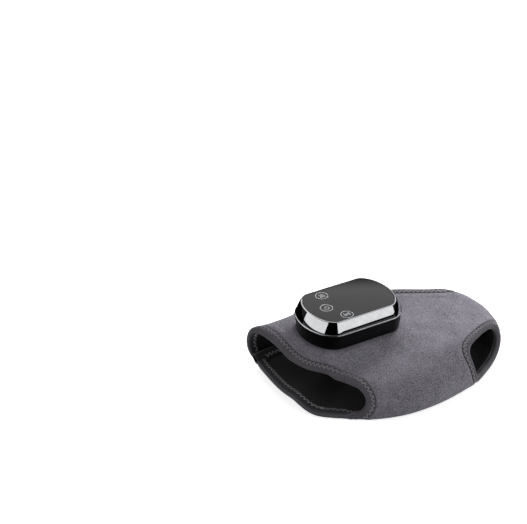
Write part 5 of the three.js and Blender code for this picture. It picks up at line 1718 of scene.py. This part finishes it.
@dataclass(frozen=True)
class Board(Finish):
    """Circuit board: green mask over copper tracks, with bright tinned pads."""

    dark: Triple = (20, 70, 42)
    light: Triple = (38, 104, 62)
    pad: Triple = (196, 190, 170)
    track: float = 0.0016

    def sockets(self, graph: Graph) -> dict[str, Any]:
        """Mixes the finish.

        Args:
            graph: The material's nodes.

        Returns:
            The shader's values.
        """
        x, y, _ = graph.parts(graph.place)
        bend = graph.cells(110)
        tracks = graph.ribs(x + y * 0.5 + bend * 0.004, self.track).between(0.62, 0.72)
        pads = 1 - graph.cells(330).between(0.16, 0.2)
        colour = graph.tint(pads, self.colour(graph, tracks), linear(*self.pad))
        return dict(
            base_color=colour, roughness=0.45 - pads * 0.2, metallic=pads * 0.9,
            normal=graph.raise_by(tracks + pads, 0.00004), coat_weight=0.2, coat_roughness=0.2,
        )


@dataclass
class Looks:
    """All the finishes, one for each material slot of the record."""

    finishes: dict[str, Finish] = field(default_factory=lambda: {
        "grey_suede": Nap(),
        "black_knit": Knit(),
        "dark_binding": Ribbed(),
        "hook_tape": HookTape(),
        "amber_film": Hard((120, 72, 22), (176, 116, 44), 0.3, grain=260, coat=0.5),
        "black_lead": Hard((18, 18, 19), (36, 36, 38), 0.5, grain=700),
        "sensor_bead": Hard((34, 48, 38), (60, 76, 62), 0.35, coat=0.6),
        "smoked_glass": Glass(),
        "chrome_plating": Hard((214, 215, 218), (232, 233, 235), 0.03, 0.03, 1.0, 320, 0.000001),
        "black_moulding": Hard((7, 6, 8), (13, 12, 14), 0.3, 0.1, 0.0, 1500, 0.00002, shine=0.22),
        "white_moulding": Hard((196, 196, 192), (216, 216, 212), 0.5, grain=1200),
        "circuit_board": Board(),
        "chip_package": Hard((20, 20, 22), (38, 38, 40), 0.45, grain=1600, depth=0.00004),
        "battery_pouch": Hard((150, 154, 160), (190, 194, 198), 0.3, 0.15, 0.6, 160, 0.0002),
        "bright_steel": Hard((160, 162, 165), (196, 198, 201), 0.22, 0.15, 1.0, 500, 0.00002, (1, 14, 1)),
        "nickel_plating": Hard((180, 177, 166), (208, 205, 195), 0.16, 0.1, 1.0, 700, 0.00001, (10, 1, 1)),
        "gold_plating": Hard((186, 146, 58), (214, 176, 84), 0.2, 0.1, 1.0, 900, 0.00001),
        "tungsten_weight": Hard((92, 94, 98), (128, 130, 134), 0.4, 0.15, 1.0, 800, 0.00004, (1, 12, 1)),
        "conductive_foam": Hard((40, 41, 45), (66, 67, 71), 0.9, 0.05, 0.0, 1400, 0.0004),
        "display_face": Hard((16, 17, 19), (34, 35, 38), 0.2, 0.1, 0.0, 420, 0.00002, (1, 6, 1), 0.7),
        "sewing_thread": Thread(),
        "printed_sign": Hard((206, 208, 211), (232, 233, 235), 0.45, grain=1400),
    })
    made: dict[str, bpy.types.Material] = field(default_factory=dict)

    def material(self, finish: str) -> bpy.types.Material:
        """Returns a finish's material, which is made once.

        Args:
            finish: The finish's name.

        Returns:
            The material.
        """
        if finish not in self.made:
            self.made[finish] = self.finishes[finish].material(finish)
        return self.made[finish]

    def dress(self, piece: Piece, slot: str, finish: str | None = None) -> Piece:
        """Gives a piece the material of its finish, which is named after its slot unless another finish is given.

        Args:
            piece: The piece.
            slot: Its slot in the record.
            finish: Its finish, where that hasn't the slot's name.

        Returns:
            The piece.
        """
        piece.data.materials.clear()
        piece.data.materials.append(self.material(finish or slot))
        LOG.info("%s: %s, %d faces", piece.name, finish or slot, len(piece.data.polygons))
        return piece

    def dress_frame(self) -> None:
        """Gives every CAD node the finish of its own slot."""
        slots = {part["node"]: part["material_slot"] for part in frame["record"]["subparts"]}
        for name, node in frame["nodes"].items():
            for place in node.material_slots:
                place.material = self.material(slots[name])


class LoftKind(Enum):
    """How the ends of an outline's rings are joined."""

    SOLID = "a face closes each end"
    RING = "the last ring is joined to the first"


class Joining(Enum):
    """How one solid changes another."""

    ADD = "UNION"
    CUT = "DIFFERENCE"


def select_points(piece: Piece, numbers: set[int]) -> None:
    """Selects only the points with these numbers, in edit mode.

    Args:
        piece: The piece.
        numbers: The points' numbers.
    """
    work = bmesh.from_edit_mesh(piece.data)
    work.verts.ensure_lookup_table()
    for vertex in work.verts:
        vertex.select_set(False)
    for number in numbers:
        work.verts[number].select_set(True)
    work.select_flush(True)
    bmesh.update_edit_mesh(piece.data)


def selected_points(piece: Piece) -> dict[int, Vector]:
    """Returns the numbers and places of the selected points, in edit mode.

    Args:
        piece: The piece.

    Returns:
        The place of each point, by its number.
    """
    work = bmesh.from_edit_mesh(piece.data)
    work.verts.index_update()
    return {vertex.index: vertex.co.copy() for vertex in work.verts if vertex.select}


def close_up(piece: Piece) -> None:
    """Ends a piece's modelling: outward faces, its place in its mesh, and smooth shading.

    Args:
        piece: The piece.
    """
    focus(piece)
    bpy.ops.object.mode_set(mode="EDIT")
    bpy.ops.mesh.select_all(action="SELECT")
    bpy.ops.mesh.remove_doubles(threshold=WELD_DISTANCE)
    bpy.ops.mesh.normals_make_consistent(inside=False)
    bpy.ops.object.mode_set(mode="OBJECT")
    bpy.ops.object.transform_apply(location=True, rotation=True, scale=True)
    bpy.ops.object.shade_smooth_by_angle(angle=MOULDED_SMOOTH_ANGLE)


def join(piece: Piece, other: Piece, joining: Joining) -> None:
    """Adds one solid to another, or cuts it out of it.

    Args:
        piece: The solid that is changed.
        other: The solid that changes it.
        joining: How it does.
    """
    focus(piece)
    change = piece.modifiers.new(joining.name, "BOOLEAN")
    change.operation, change.object, change.solver = joining.value, other, "EXACT"
    bpy.ops.object.modifier_apply(modifier=change.name)
    bpy.data.objects.remove(other)


@dataclass(frozen=True)
class Oblong:
    """The controller's outline: straight sides between two half-ellipses, grown or drawn in."""

    centre: Pair
    half_straight: float = 0.0263
    end: float = 0.017
    end_spread: float = 1.25
    half_width: float = 0.0285
    sides: int = 128

    def end_size(self, grow: float) -> Triple:
        """Returns the half-sizes of a half-ellipse at an end, grown or drawn in."""
        return self.end + grow * self.end_spread, self.half_width + grow, 1

    def on_side(self, points: dict[int, Vector], side: int) -> set[int]:
        """Returns the numbers of the points on one side, -1 or 1, of the outline's middle."""
        return {number for number, place in points.items() if (place.x - self.centre[0]) * side > 0}

    def loft(self, name: str, profile: Sequence[Pair], kind: LoftKind) -> Piece:
        """Makes a solid from rings of the outline.

        Args:
            name: The piece's name.
            profile: How far each ring is grown, and its height, in metres.
            kind: How the rings' ends are joined.

        Returns:
            The solid, at the origin.
        """
        (grow, level), (x, y) = profile[0], self.centre
        place = (x, y, level)
        bpy.ops.object.select_all(action="DESELECT")
        bpy.ops.mesh.primitive_circle_add(vertices=self.sides, radius=1, fill_type="NOTHING", location=place)
        piece = bpy.context.object
        piece.name = piece.data.name = name
        bpy.ops.object.transform_apply(location=True, rotation=True, scale=True)
        bpy.ops.object.mode_set(mode="EDIT")
        bpy.ops.mesh.select_mode(type="VERT")
        bpy.ops.mesh.select_all(action="SELECT")
        bpy.ops.transform.rotate(value=math.pi / self.sides, orient_axis="Z", center_override=place)
        size = self.end_size(grow)
        bpy.ops.transform.resize(value=size, center_override=place)
        first = selected_points(piece)
        for side in (-1, 1):
            select_points(piece, self.on_side(first, side))
            bpy.ops.transform.translate(value=(side * self.half_straight, 0, 0))
        select_points(piece, set(first))
        for next_grow, next_level in profile[1:]:
            step = (0, 0, next_level - level)
            bpy.ops.mesh.extrude_region_move(TRANSFORM_OT_translate={"value": step})
            ring, next_size = selected_points(piece), self.end_size(next_grow)
            scale = tuple(after / before for before, after in zip(size, next_size))
            if next_grow != grow:
                for side in (-1, 1):
                    select_points(piece, self.on_side(ring, side))
                    middle = (x + side * self.half_straight, y, next_level)
                    bpy.ops.transform.resize(value=scale, center_override=middle)
                select_points(piece, set(ring))
            grow, level, size = next_grow, next_level, next_size
        last = set(selected_points(piece))
        if kind is LoftKind.RING:
            select_points(piece, set(first) | last)
            bpy.ops.mesh.bridge_edge_loops()
        else:
            bpy.ops.mesh.edge_face_add()
            select_points(piece, set(first))
            bpy.ops.mesh.edge_face_add()
        bpy.ops.object.mode_set(mode="OBJECT")
        close_up(piece)
        return piece

    def post(self, radius: float, bottom: float, top: float, place: Pair, sides: int = 32) -> Piece:
        """Makes an upright round solid at a place from the outline's centre.

        Args:
            radius: Its radius.
            bottom: Height of its foot.
            top: Height of its top.
            place: Its middle in plan.
            sides: How many sides stand for its round.

        Returns:
            The solid.
        """
        spot = (self.centre[0] + place[0], self.centre[1] + place[1], (top + bottom) / 2)
        bpy.ops.object.select_all(action="DESELECT")
        bpy.ops.mesh.primitive_cylinder_add(vertices=sides, radius=radius, depth=top - bottom, location=spot)
        return bpy.context.object

    def block(self, size: Pair, bottom: float, top: float, place: Pair) -> Piece:
        """Makes a square-cornered solid at a place from the outline's centre.

        Args:
            size: Its length and width.
            bottom: Height of its foot.
            top: Height of its top.
            place: Its middle in plan.

        Returns:
            The solid.
        """
        spot = (self.centre[0] + place[0], self.centre[1] + place[1], (top + bottom) / 2)
        bpy.ops.object.select_all(action="DESELECT")
        bpy.ops.mesh.primitive_cube_add(size=1, location=spot)
        bpy.ops.transform.resize(value=(*size, top - bottom))
        bpy.ops.object.transform_apply(location=True, rotation=True, scale=True)
        return bpy.context.object


def rounded(corner: Pair, start: Pair, end: Pair, steps: int = 4) -> list[Pair]:
    """Returns a rounded corner of a profile, from start to end, pulled to the corner between.

    Args:
        corner: The corner.
        start: Where the round starts.
        end: Where it ends.
        steps: How many parts it has.

    Returns:
        The points of the round.
    """
    return [
        tuple((1 - s) ** 2 * a + 2 * s * (1 - s) * c + s**2 * b for a, c, b in zip(start, corner, end))
        for s in (step / steps for step in range(steps + 1))
    ]


def bottom_of(node: str) -> float:
    """Returns the height of a CAD node's underside."""
    return float(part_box(node)[0][2])


def top_of(node: str) -> float:
    """Returns the height of a CAD node's top."""
    return float(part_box(node)[1][2])


def middle_of(node: str) -> list[float]:
    """Returns the middle of a CAD node's box."""
    return [float(low + high) / 2 for low, high in zip(*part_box(node))]


@dataclass
class Dock:
    """The moulded tray on top of the sleeve, with its contacts, magnets and rivets."""

    looks: Looks
    outline: Oblong
    floor: float = 0.0026
    height: float = 0.0077
    foot_flare: float = 0.0032
    top_flare: float = 0.004
    cavity_flare: float = 0.0016
    edge: float = 0.00035
    magnet: Pair = (0.0035, 0.0014)
    rivet_head: Pair = (0.0026, 0.0007)
    rivet_radius: float = 0.0015
    rivet_places: Triple = (0.024, 0.014, 0.002)
    magnet_x: float = 0.0373
    board: Triple = (0.025, 0.007, 0.001)
    lead: Pair = (0.005, 0.0025)

    def build(self) -> None:
        """Builds the tray with its pockets."""
        bottom, edge, out = bottom_of("dock_tray"), self.edge, self.outline
        floor, top, outer, inner = bottom + self.floor, bottom + self.height, self.top_flare, self.cavity_flare
        profile = [
            (self.foot_flare - edge, bottom), (self.foot_flare, bottom + edge),
            *rounded((outer, top), (outer - 0.1 * edge, top - edge), (outer - edge, top)),
            *rounded((inner, top), (inner + edge, top), (inner, top - edge)),
            *rounded((inner, floor), (inner, floor + edge), (inner - edge, floor)),
        ]
        tray = out.loft("dock_moulding", profile, LoftKind.SOLID)
        x, y, shift = self.rivet_places
        rivets = ((-x, shift - y), (x, shift - y), (-x, shift + y), (x, shift + y))
        magnets = ((-self.magnet_x, 0), (self.magnet_x, 0))
        cutters = []
        for (radius, depth), places in ((self.magnet, magnets), (self.rivet_head, rivets)):
            for place in places:
                cutters.append(out.post(radius + SEAT, floor - 2 * SEAT - depth, floor + OVERCUT, place))
        cutters += [out.post(self.rivet_radius + SEAT, bottom - OVERCUT, floor, place) for place in rivets]
        *board, depth = (side + 2 * SEAT for side in self.board)
        lead = tuple(side + 2 * SEAT for side in self.lead)
        cutters.append(out.block(board, floor - depth + SEAT, floor + OVERCUT, (0, CONTACT_Y)))
        cutters.append(out.block(lead, bottom - OVERCUT, floor, (0, CONTACT_Y)))
        for cutter in cutters:
            join(tray, cutter, Joining.CUT)
        close_up(tray)
        mount([self.looks.dress(tray, "black_moulding")], ["dock_tray"], "wrap")


@dataclass
class TouchSigns:
    """The three touch keys' printed signs: a ring, and a generic mark for heat, power or vibration."""

    looks: Looks
    ring: float = 0.0056
    stroke: float = 0.0003
    relief: float = 0.00004
    wave_x: float = 0.0016
    wave_width: float = 0.0004
    wave_turns_per_metre: float = 1850 / math.tau
    wave_span: Pair = (-0.0014, 0.002)
    bar: Pair = (0.0024, -0.0023)
    power_radius: float = 0.0022
    power_gap: Pair = (128, 412)
    power_drop: float = -0.0003
    power_bar: Pair = (0.0002, 0.0026)
    vibration_radii: Triple = (0.0009, 0.0019, 0.0029)
    vibration_reach: float = 0.8

    def arc(self, radius: float, start: float, end: float, drop: float = 0, steps: int = 40) -> list[Pair]:
        """Returns the points of an arc."""
        angles = [mix(start, end, step / steps) for step in range(steps + 1)]
        return [(radius * math.cos(angle), drop + radius * math.sin(angle)) for angle in angles]

    @property
    def heat(self) -> list[list[Pair]]:
        """The lines of the heat mark: three rising waves over a bar."""
        low, high = self.wave_span
        rise, (half, level) = [mix(low, high, step / 16) for step in range(17)], self.bar
        bends = [self.wave_width * math.sin((y - low) * self.wave_turns_per_metre * math.tau) for y in rise]
        waves = [[(side * self.wave_x + bend, y) for bend, y in zip(bends, rise)] for side in (-1, 0, 1)]
        return [*waves, [(-half, level), (half, level)]]

    @property
    def power(self) -> list[list[Pair]]:
        """The lines of the power mark: an open circle and a bar."""
        circle = self.arc(self.power_radius, *map(math.radians, self.power_gap), self.power_drop)
        return [circle, [(0, level) for level in self.power_bar]]

    @property
    def vibration(self) -> list[list[Pair]]:
        """The lines of the vibration mark: a pad between pairs of arcs."""
        pad, *radii = self.vibration_radii
        lines, reach = [self.arc(pad, 0, math.tau, steps=24)], self.vibration_reach
        for radius in radii:
            for middle in (0, math.pi):
                lines.append(self.arc(radius, middle - reach, middle + reach, steps=16))
        return lines

    def build(self) -> None:
        """Builds the signs on the glass."""
        for name, lines in (("heat", self.heat), ("power", self.power), ("vibration", self.vibration)):
            curve = bpy.data.curves.new(f"{name}_sign", "CURVE")
            curve.dimensions, curve.bevel_depth = "3D", self.stroke
            curve.bevel_resolution, curve.use_fill_caps = 1, True
            for line in [self.arc(self.ring, 0, math.tau, steps=72), *lines]:
                closed = math.dist(line[0], line[-1]) < WELD_DISTANCE
                points = line[:-1] if closed else line
                spline = curve.splines.new("POLY")
                spline.points.add(len(points) - 1)
                spline.use_cyclic_u = closed
                for point, (px, py) in zip(spline.points, points):
                    point.co = (px, py, 0, 1)
            sign = bpy.data.objects.new(f"{name}_sign", curve)
            bpy.context.scene.collection.objects.link(sign)
            focus(sign)
            bpy.ops.object.convert(target="MESH")
            sign = bpy.context.object
            sign.scale.z = self.relief / self.stroke
            sign.location = (*middle_of(f"{name}_key_pad")[:2], top_of("touch_panel"))
            close_up(sign)
            mount([self.looks.dress(sign, "white_moulding", "printed_sign")], [], "controller")


@dataclass
class Controller:
    """The controller that clips into the dock: smoked glass in a chrome ring over a black housing."""

    looks: Looks
    outline: Oblong
    glass_inset: float = 0.0012
    glass_edge: float = 0.00022
    bezel_flare: float = 0.0045
    bezel_bulge: float = 0.00048
    bezel_land: float = 0.0009
    bezel_ledge: float = 0.002
    bezel_wall: float = 0.0024
    ledge_thickness: float = 0.0014
    bezel_steps: int = 24
    bead: Pair = (0.00036, 0.001)
    bead_steps: int = 8
    bead_clear: float = 0.00115
    foot_edge: float = 0.0002
    rim_edge: float = 0.00045
    plug_flare: float = 0.0013
    band_foot: float = 0.0041
    band_top: float = 0.0044
    inner_flare: float = -0.0003
    floor: float = 0.0016
    band_edge: float = 0.00025
    screw: Triple = (0.001, 0.002, 0.0014)
    boss: Triple = (0.0313, 0.021, 0.003)
    pin_radius: float = 0.0009
    pin_x: tuple[float, ...] = (-0.009, -0.003, 0.003, 0.009)
    magnet: tuple[float, float, float, float] = (0.0373, 0.0035, 0.0014, 0.0009)
    cradle: Triple = (0.008, 0.01, 0.0032)
    port: Pair = (0.009, 0.0032)
    bore_sides: int = 24
    cradle_sides: int = 40

    def build_glass(self) -> None:
        """Builds the glass with its polished edge."""
        bottom, top = bottom_of("touch_panel"), top_of("touch_panel")
        inset, edge = -self.glass_inset, self.glass_edge
        profile = [(inset, bottom), *rounded((inset, top), (inset, top - edge), (inset - edge, top))]
        panel = self.outline.loft("glass_panel", profile, LoftKind.SOLID)
        mount([self.looks.dress(panel, "smoked_glass")], ["touch_panel"], "controller")

    def build_ring(self) -> None:
        """Builds the bulging chrome ring, with the bead at its foot and the shelf for the glass."""
        bottom, top = bottom_of("chrome_bezel"), top_of("chrome_bezel")
        ledge_top = bottom_of("touch_panel") - SEAT
        ledge_bottom, land, edge = ledge_top - self.ledge_thickness, -self.bezel_land, self.rim_edge
        out, rise = self.bead
        bead = [
            (self.bezel_flare + out * math.sin(turn), bottom + rise * (1 - math.cos(turn)) / 2)
            for turn in (math.pi * step / self.bead_steps for step in range(1, self.bead_steps))
        ]
        first, last, side = self.bead_clear / (top - bottom), 1 - edge / (top - bottom), []
        for step in range(self.bezel_steps + 1):
            share = mix(first, last, step / self.bezel_steps)
            bulge = 4 * self.bezel_bulge * share * (1 - share)
            side.append((self.bezel_flare * (1 - share) + bulge, mix(bottom, top, share)))
        inner = self.bezel_flare - self.bezel_wall
        profile = [
            (self.bezel_flare - self.foot_edge, bottom), *bead, *side[:-1],
            *rounded((0.0, top), side[-1], (-edge, top)),
            *rounded((land, top), (land + edge / 4, top), (land, top - edge / 4)),
            (land, ledge_top), (land - self.bezel_ledge, ledge_top), (land - self.bezel_ledge, ledge_bottom),
            (land, ledge_bottom), (inner, (bottom + ledge_bottom) / 2), (inner, bottom),
        ]
        ring = self.outline.loft("chrome_ring", profile, LoftKind.RING)
        mount([self.looks.dress(ring, "chrome_plating")], ["chrome_bezel"], "controller")

    def build_housing(self) -> None:
        """Builds the lower housing: plug, band, bosses, magnet rings and cradle, with its bores."""
        bottom, top = bottom_of("lower_housing"), top_of("lower_housing")
        band, board = top_of("dock_tray") + SEAT, bottom_of("main_board")
        edge, out, floor = self.band_edge, self.outline, bottom + self.floor
        profile = [
            (self.plug_flare - edge, bottom), (self.plug_flare, bottom + edge), (self.plug_flare, band),
            *rounded((self.band_foot, band), (self.band_foot - edge, band), (self.band_foot, band + edge)),
            *rounded((self.band_top, top), (self.band_top, top - edge), (self.band_top - edge, top)),
            (self.inner_flare, top), (self.inner_flare, floor),
        ]
        tub = out.loft("housing_moulding", profile, LoftKind.SOLID)
        boss_x, boss_y, boss_radius = self.boss
        bosses = [(side_x * boss_x, side_y * boss_y) for side_x in (-1, 1) for side_y in (-1, 1)]
        motor = middle_of("motor_can")
        motor_place = (motor[0] - out.centre[0], motor[1] - out.centre[1])
        width, length, radius = self.cradle
        magnet_x, magnet_radius, magnet_height, wall = self.magnet
        magnets, magnet_top = ((-magnet_x, 0), (magnet_x, 0)), floor + magnet_height
        magnet_hole = magnet_radius + SEAT
        added = [out.post(boss_radius, floor - SEAT, board - SEAT, place) for place in bosses]
        added.append(out.block((width, length), floor - SEAT, motor[2] - radius / 3, motor_place))
        added += [out.post(magnet_hole + wall, floor - SEAT, magnet_top, place) for place in magnets]
        for solid in added:
            join(tub, solid, Joining.ADD)
        screw_radius, head_radius, head_height = self.screw
        pins = [(x, CONTACT_Y) for x in self.pin_x]
        bores = (
            (screw_radius, board + OVERCUT, bosses), (head_radius, bottom + 2 * SEAT + head_height, bosses),
            (self.pin_radius, floor + OVERCUT, pins),
        )
        cutters = [
            out.post(size + SEAT, bottom - OVERCUT, level, place, self.bore_sides)
            for size, level, places in bores for place in places
        ]
        cutters += [out.post(magnet_hole, floor, magnet_top + OVERCUT, place) for place in magnets]
        low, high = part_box("usb_c_port")
        port_length, port_height = self.port
        port_y = float(low[1] + high[1]) / 2 - out.centre[1]
        size = (port_length + 2 * SEAT, float(high[1] - low[1]) + 2 * OVERCUT)
        cutters.append(out.block(size, float(low[2]) - SEAT, float(low[2]) + port_height + SEAT, (0, port_y)))
        bpy.ops.object.select_all(action="DESELECT")
        bpy.ops.mesh.primitive_cylinder_add(
            vertices=self.cradle_sides, radius=radius + SEAT, depth=length + 2 * OVERCUT, location=motor,
            rotation=(math.pi / 2, 0, 0),
        )
        cutters.append(bpy.context.object)
        for cutter in cutters:
            join(tub, cutter, Joining.CUT)
        close_up(tub)
        mount([self.looks.dress(tub, "black_moulding")], ["lower_housing"], "controller")

    def build(self) -> None:
        """Builds all of the controller that the CAD nodes don't show well enough."""
        self.build_glass()
        self.build_ring()
        self.build_housing()
        TouchSigns(self.looks).build()


@dataclass(frozen=True)
class Softbox:
    """A large soft lamp that looks at the object."""

    name: str
    place: Triple
    size: Pair
    radiance: float
    lights: bool = True
    mirrored: bool = True

    def build(self, aim: Vector) -> None:
        """Builds the lamp, turned towards a point.

        Args:
            aim: The point.
        """
        lamp = bpy.data.lights.new(self.name, "AREA")
        lamp.shape, (lamp.size, lamp.size_y) = "RECTANGLE", self.size
        lamp.energy = self.radiance * math.pi * self.size[0] * self.size[1]
        holder = bpy.data.objects.new(self.name, lamp)
        holder.location = self.place
        holder.rotation_euler = (aim - Vector(self.place)).to_track_quat("-Z", "Y").to_euler()
        holder.visible_camera = False
        holder.visible_diffuse, holder.visible_glossy = self.lights, self.mirrored
        bpy.context.scene.collection.objects.link(holder)


@dataclass
class Studio:
    """Pale floor, soft lamps, a plain white surround and the camera."""

    aim: Triple = (0.0, 0.0, 0.03)
    camera_place: Triple = (-0.73712, -1.00802, 0.81603)
    camera_turn: Pair = (-31.0, 29.5)
    lens: float = 109.3
    sensor: float = 36.0
    view_end: float = 100.0
    floor_size: float = 12.0
    floor_gap: float = 0.0002
    floor_shade: Triple = (252, 252, 252)
    floor_lift: float = 0.78
    floor_mirrored: Pair = (0.06, 0.06)
    ambient: float = 0.21
    rear: float = 0.82
    rear_span: Pair = (-0.1, 0.4)
    high_span: tuple[float, ...] = (0.36, 0.46, 0.02, 1.0)
    away: Triple = (0.59, 0.81, 0.0)
    lamps: tuple[Softbox, ...] = (
        Softbox("overhead lamp", (0.1, 0.15, 1.35), (1.3, 1.3), 0.5, mirrored=False),
        Softbox("right lamp", (0.86, -0.95, 0.5), (0.84, 0.8), 1.65, mirrored=False),
        Softbox("left lamp", (-1.02, -0.78, 0.55), (1.2, 0.9), 0.5, mirrored=False),
        Softbox("rear lamp", (0.36, 0.3, 0.33), (0.26, 0.26), 15.0, mirrored=False),
        Softbox("top panel", (0.1, 0.15, 1.35), (1.3, 1.3), 1.2, lights=False),
        Softbox("front panel", (0.44, -1.2, 0.43), (1.6, 0.8), 0.95, lights=False),
        Softbox("left panel", (-1.25, 0.29, 0.43), (1.75, 0.8), 0.9, lights=False),
    )

    def build_camera(self) -> None:
        """Builds the camera at the photograph's viewpoint."""
        data = bpy.data.cameras.new("camera")
        data.lens, data.sensor_width, data.clip_end = self.lens, self.sensor, self.view_end
        camera = bpy.data.objects.new("camera", data)
        turn, tilt = map(math.radians, self.camera_turn)
        camera.location, camera.rotation_euler = self.camera_place, (math.pi / 2 - tilt, 0, turn)
        bpy.context.scene.collection.objects.link(camera)
        bpy.context.scene.camera = camera

    def build_floor(self) -> None:
        """Builds the floor, white to the camera and dark in mirror images, with the object's shadow."""
        bpy.ops.object.select_all(action="DESELECT")
        bpy.ops.mesh.primitive_plane_add(size=self.floor_size, location=(0, 0, -self.floor_gap))
        floor = bpy.context.object
        floor.name = "floor"
        graph = Graph("floor")
        colour = graph.tint(graph.noise(3, 2).between(0.3, 0.7), linear(*self.floor_shade), WHITE)
        lift = (self.floor_lift, self.floor_lift, self.floor_lift, 1)
        glow = graph.tint(graph.path("Is Camera Ray"), (0, 0, 0, 1), lift)
        graph.finish(
            base_color=colour, roughness=0.9, specular_ior_level=0.1, emission_color=glow, emission_strength=1.0
        )
        dark, roughness = self.floor_mirrored
        inputs = {"Color": (dark, dark, dark, 1), "Roughness": roughness}
        polished = graph.node("ShaderNodeBsdfAnisotropic", {}, inputs)
        plain, mirrored = Signal(graph, graph.shader.outputs[0]), graph.path("Is Glossy Ray")
        both = graph.node("ShaderNodeMixShader", {}, {0: mirrored, 1: plain, 2: polished})
        end = next(node for node in graph.tree.nodes if node.type == "OUTPUT_MATERIAL")
        graph.feed(end.inputs["Surface"], both)
        floor.data.materials.append(graph.material)

    def build_surround(self) -> None:
        """Builds the world: white behind the object, dim behind the camera, even for soft light."""
        world = bpy.data.worlds.new("studio")
        bpy.context.scene.world = world
        world.use_nodes = True
        world.node_tree.nodes.clear()
        nodes = Nodes(world.node_tree)
        way = nodes.node("ShaderNodeTexCoord", {}, {}, "Generated")
        height = nodes.node("ShaderNodeSeparateXYZ", {}, {0: way}, 2)
        turned = nodes.node("ShaderNodeVectorMath", {"operation": "DOT_PRODUCT"}, {0: way, 1: self.away}, "Value")
        steps = []
        for value, span in ((turned, (*self.rear_span, 0.0, self.rear)), (height, self.high_span)):
            inputs = {0: value, **dict(enumerate(span, 1))}
            steps.append(nodes.node("ShaderNodeMapRange", {"interpolation_type": "SMOOTHSTEP"}, inputs))
        mirrored = {0: nodes.path("Is Glossy Ray"), 2: self.ambient, 3: steps[0] * steps[1]}
        dim = nodes.node("ShaderNodeMix", {}, mirrored)
        seen = nodes.node("ShaderNodeMix", {}, {0: nodes.path("Is Camera Ray"), 2: dim, 3: 1.0})
        light = nodes.node("ShaderNodeBackground", {}, {"Color": WHITE, "Strength": seen})
        nodes.feed(nodes.tree.nodes.new("ShaderNodeOutputWorld").inputs[0], light)

    def build(self) -> None:
        """Builds all of the studio."""
        self.build_camera()
        self.build_floor()
        self.build_surround()
        for lamp in self.lamps:
            lamp.build(Vector(self.aim))
        bpy.context.scene.view_settings.view_transform = "Standard"


def main() -> None:
    """Builds the ankle massager and its studio."""
    logging.basicConfig(level=logging.INFO, format="%(message)s")
    Studio().build()
    looks = Looks()
    looks.dress_frame()
    outline = Oblong(tuple(middle_of("dock_tray")[:2]))
    Dock(looks, outline).build()
    Controller(looks, outline).build()
    Sleeve(looks).build()


if __name__ == "__main__":
    main()
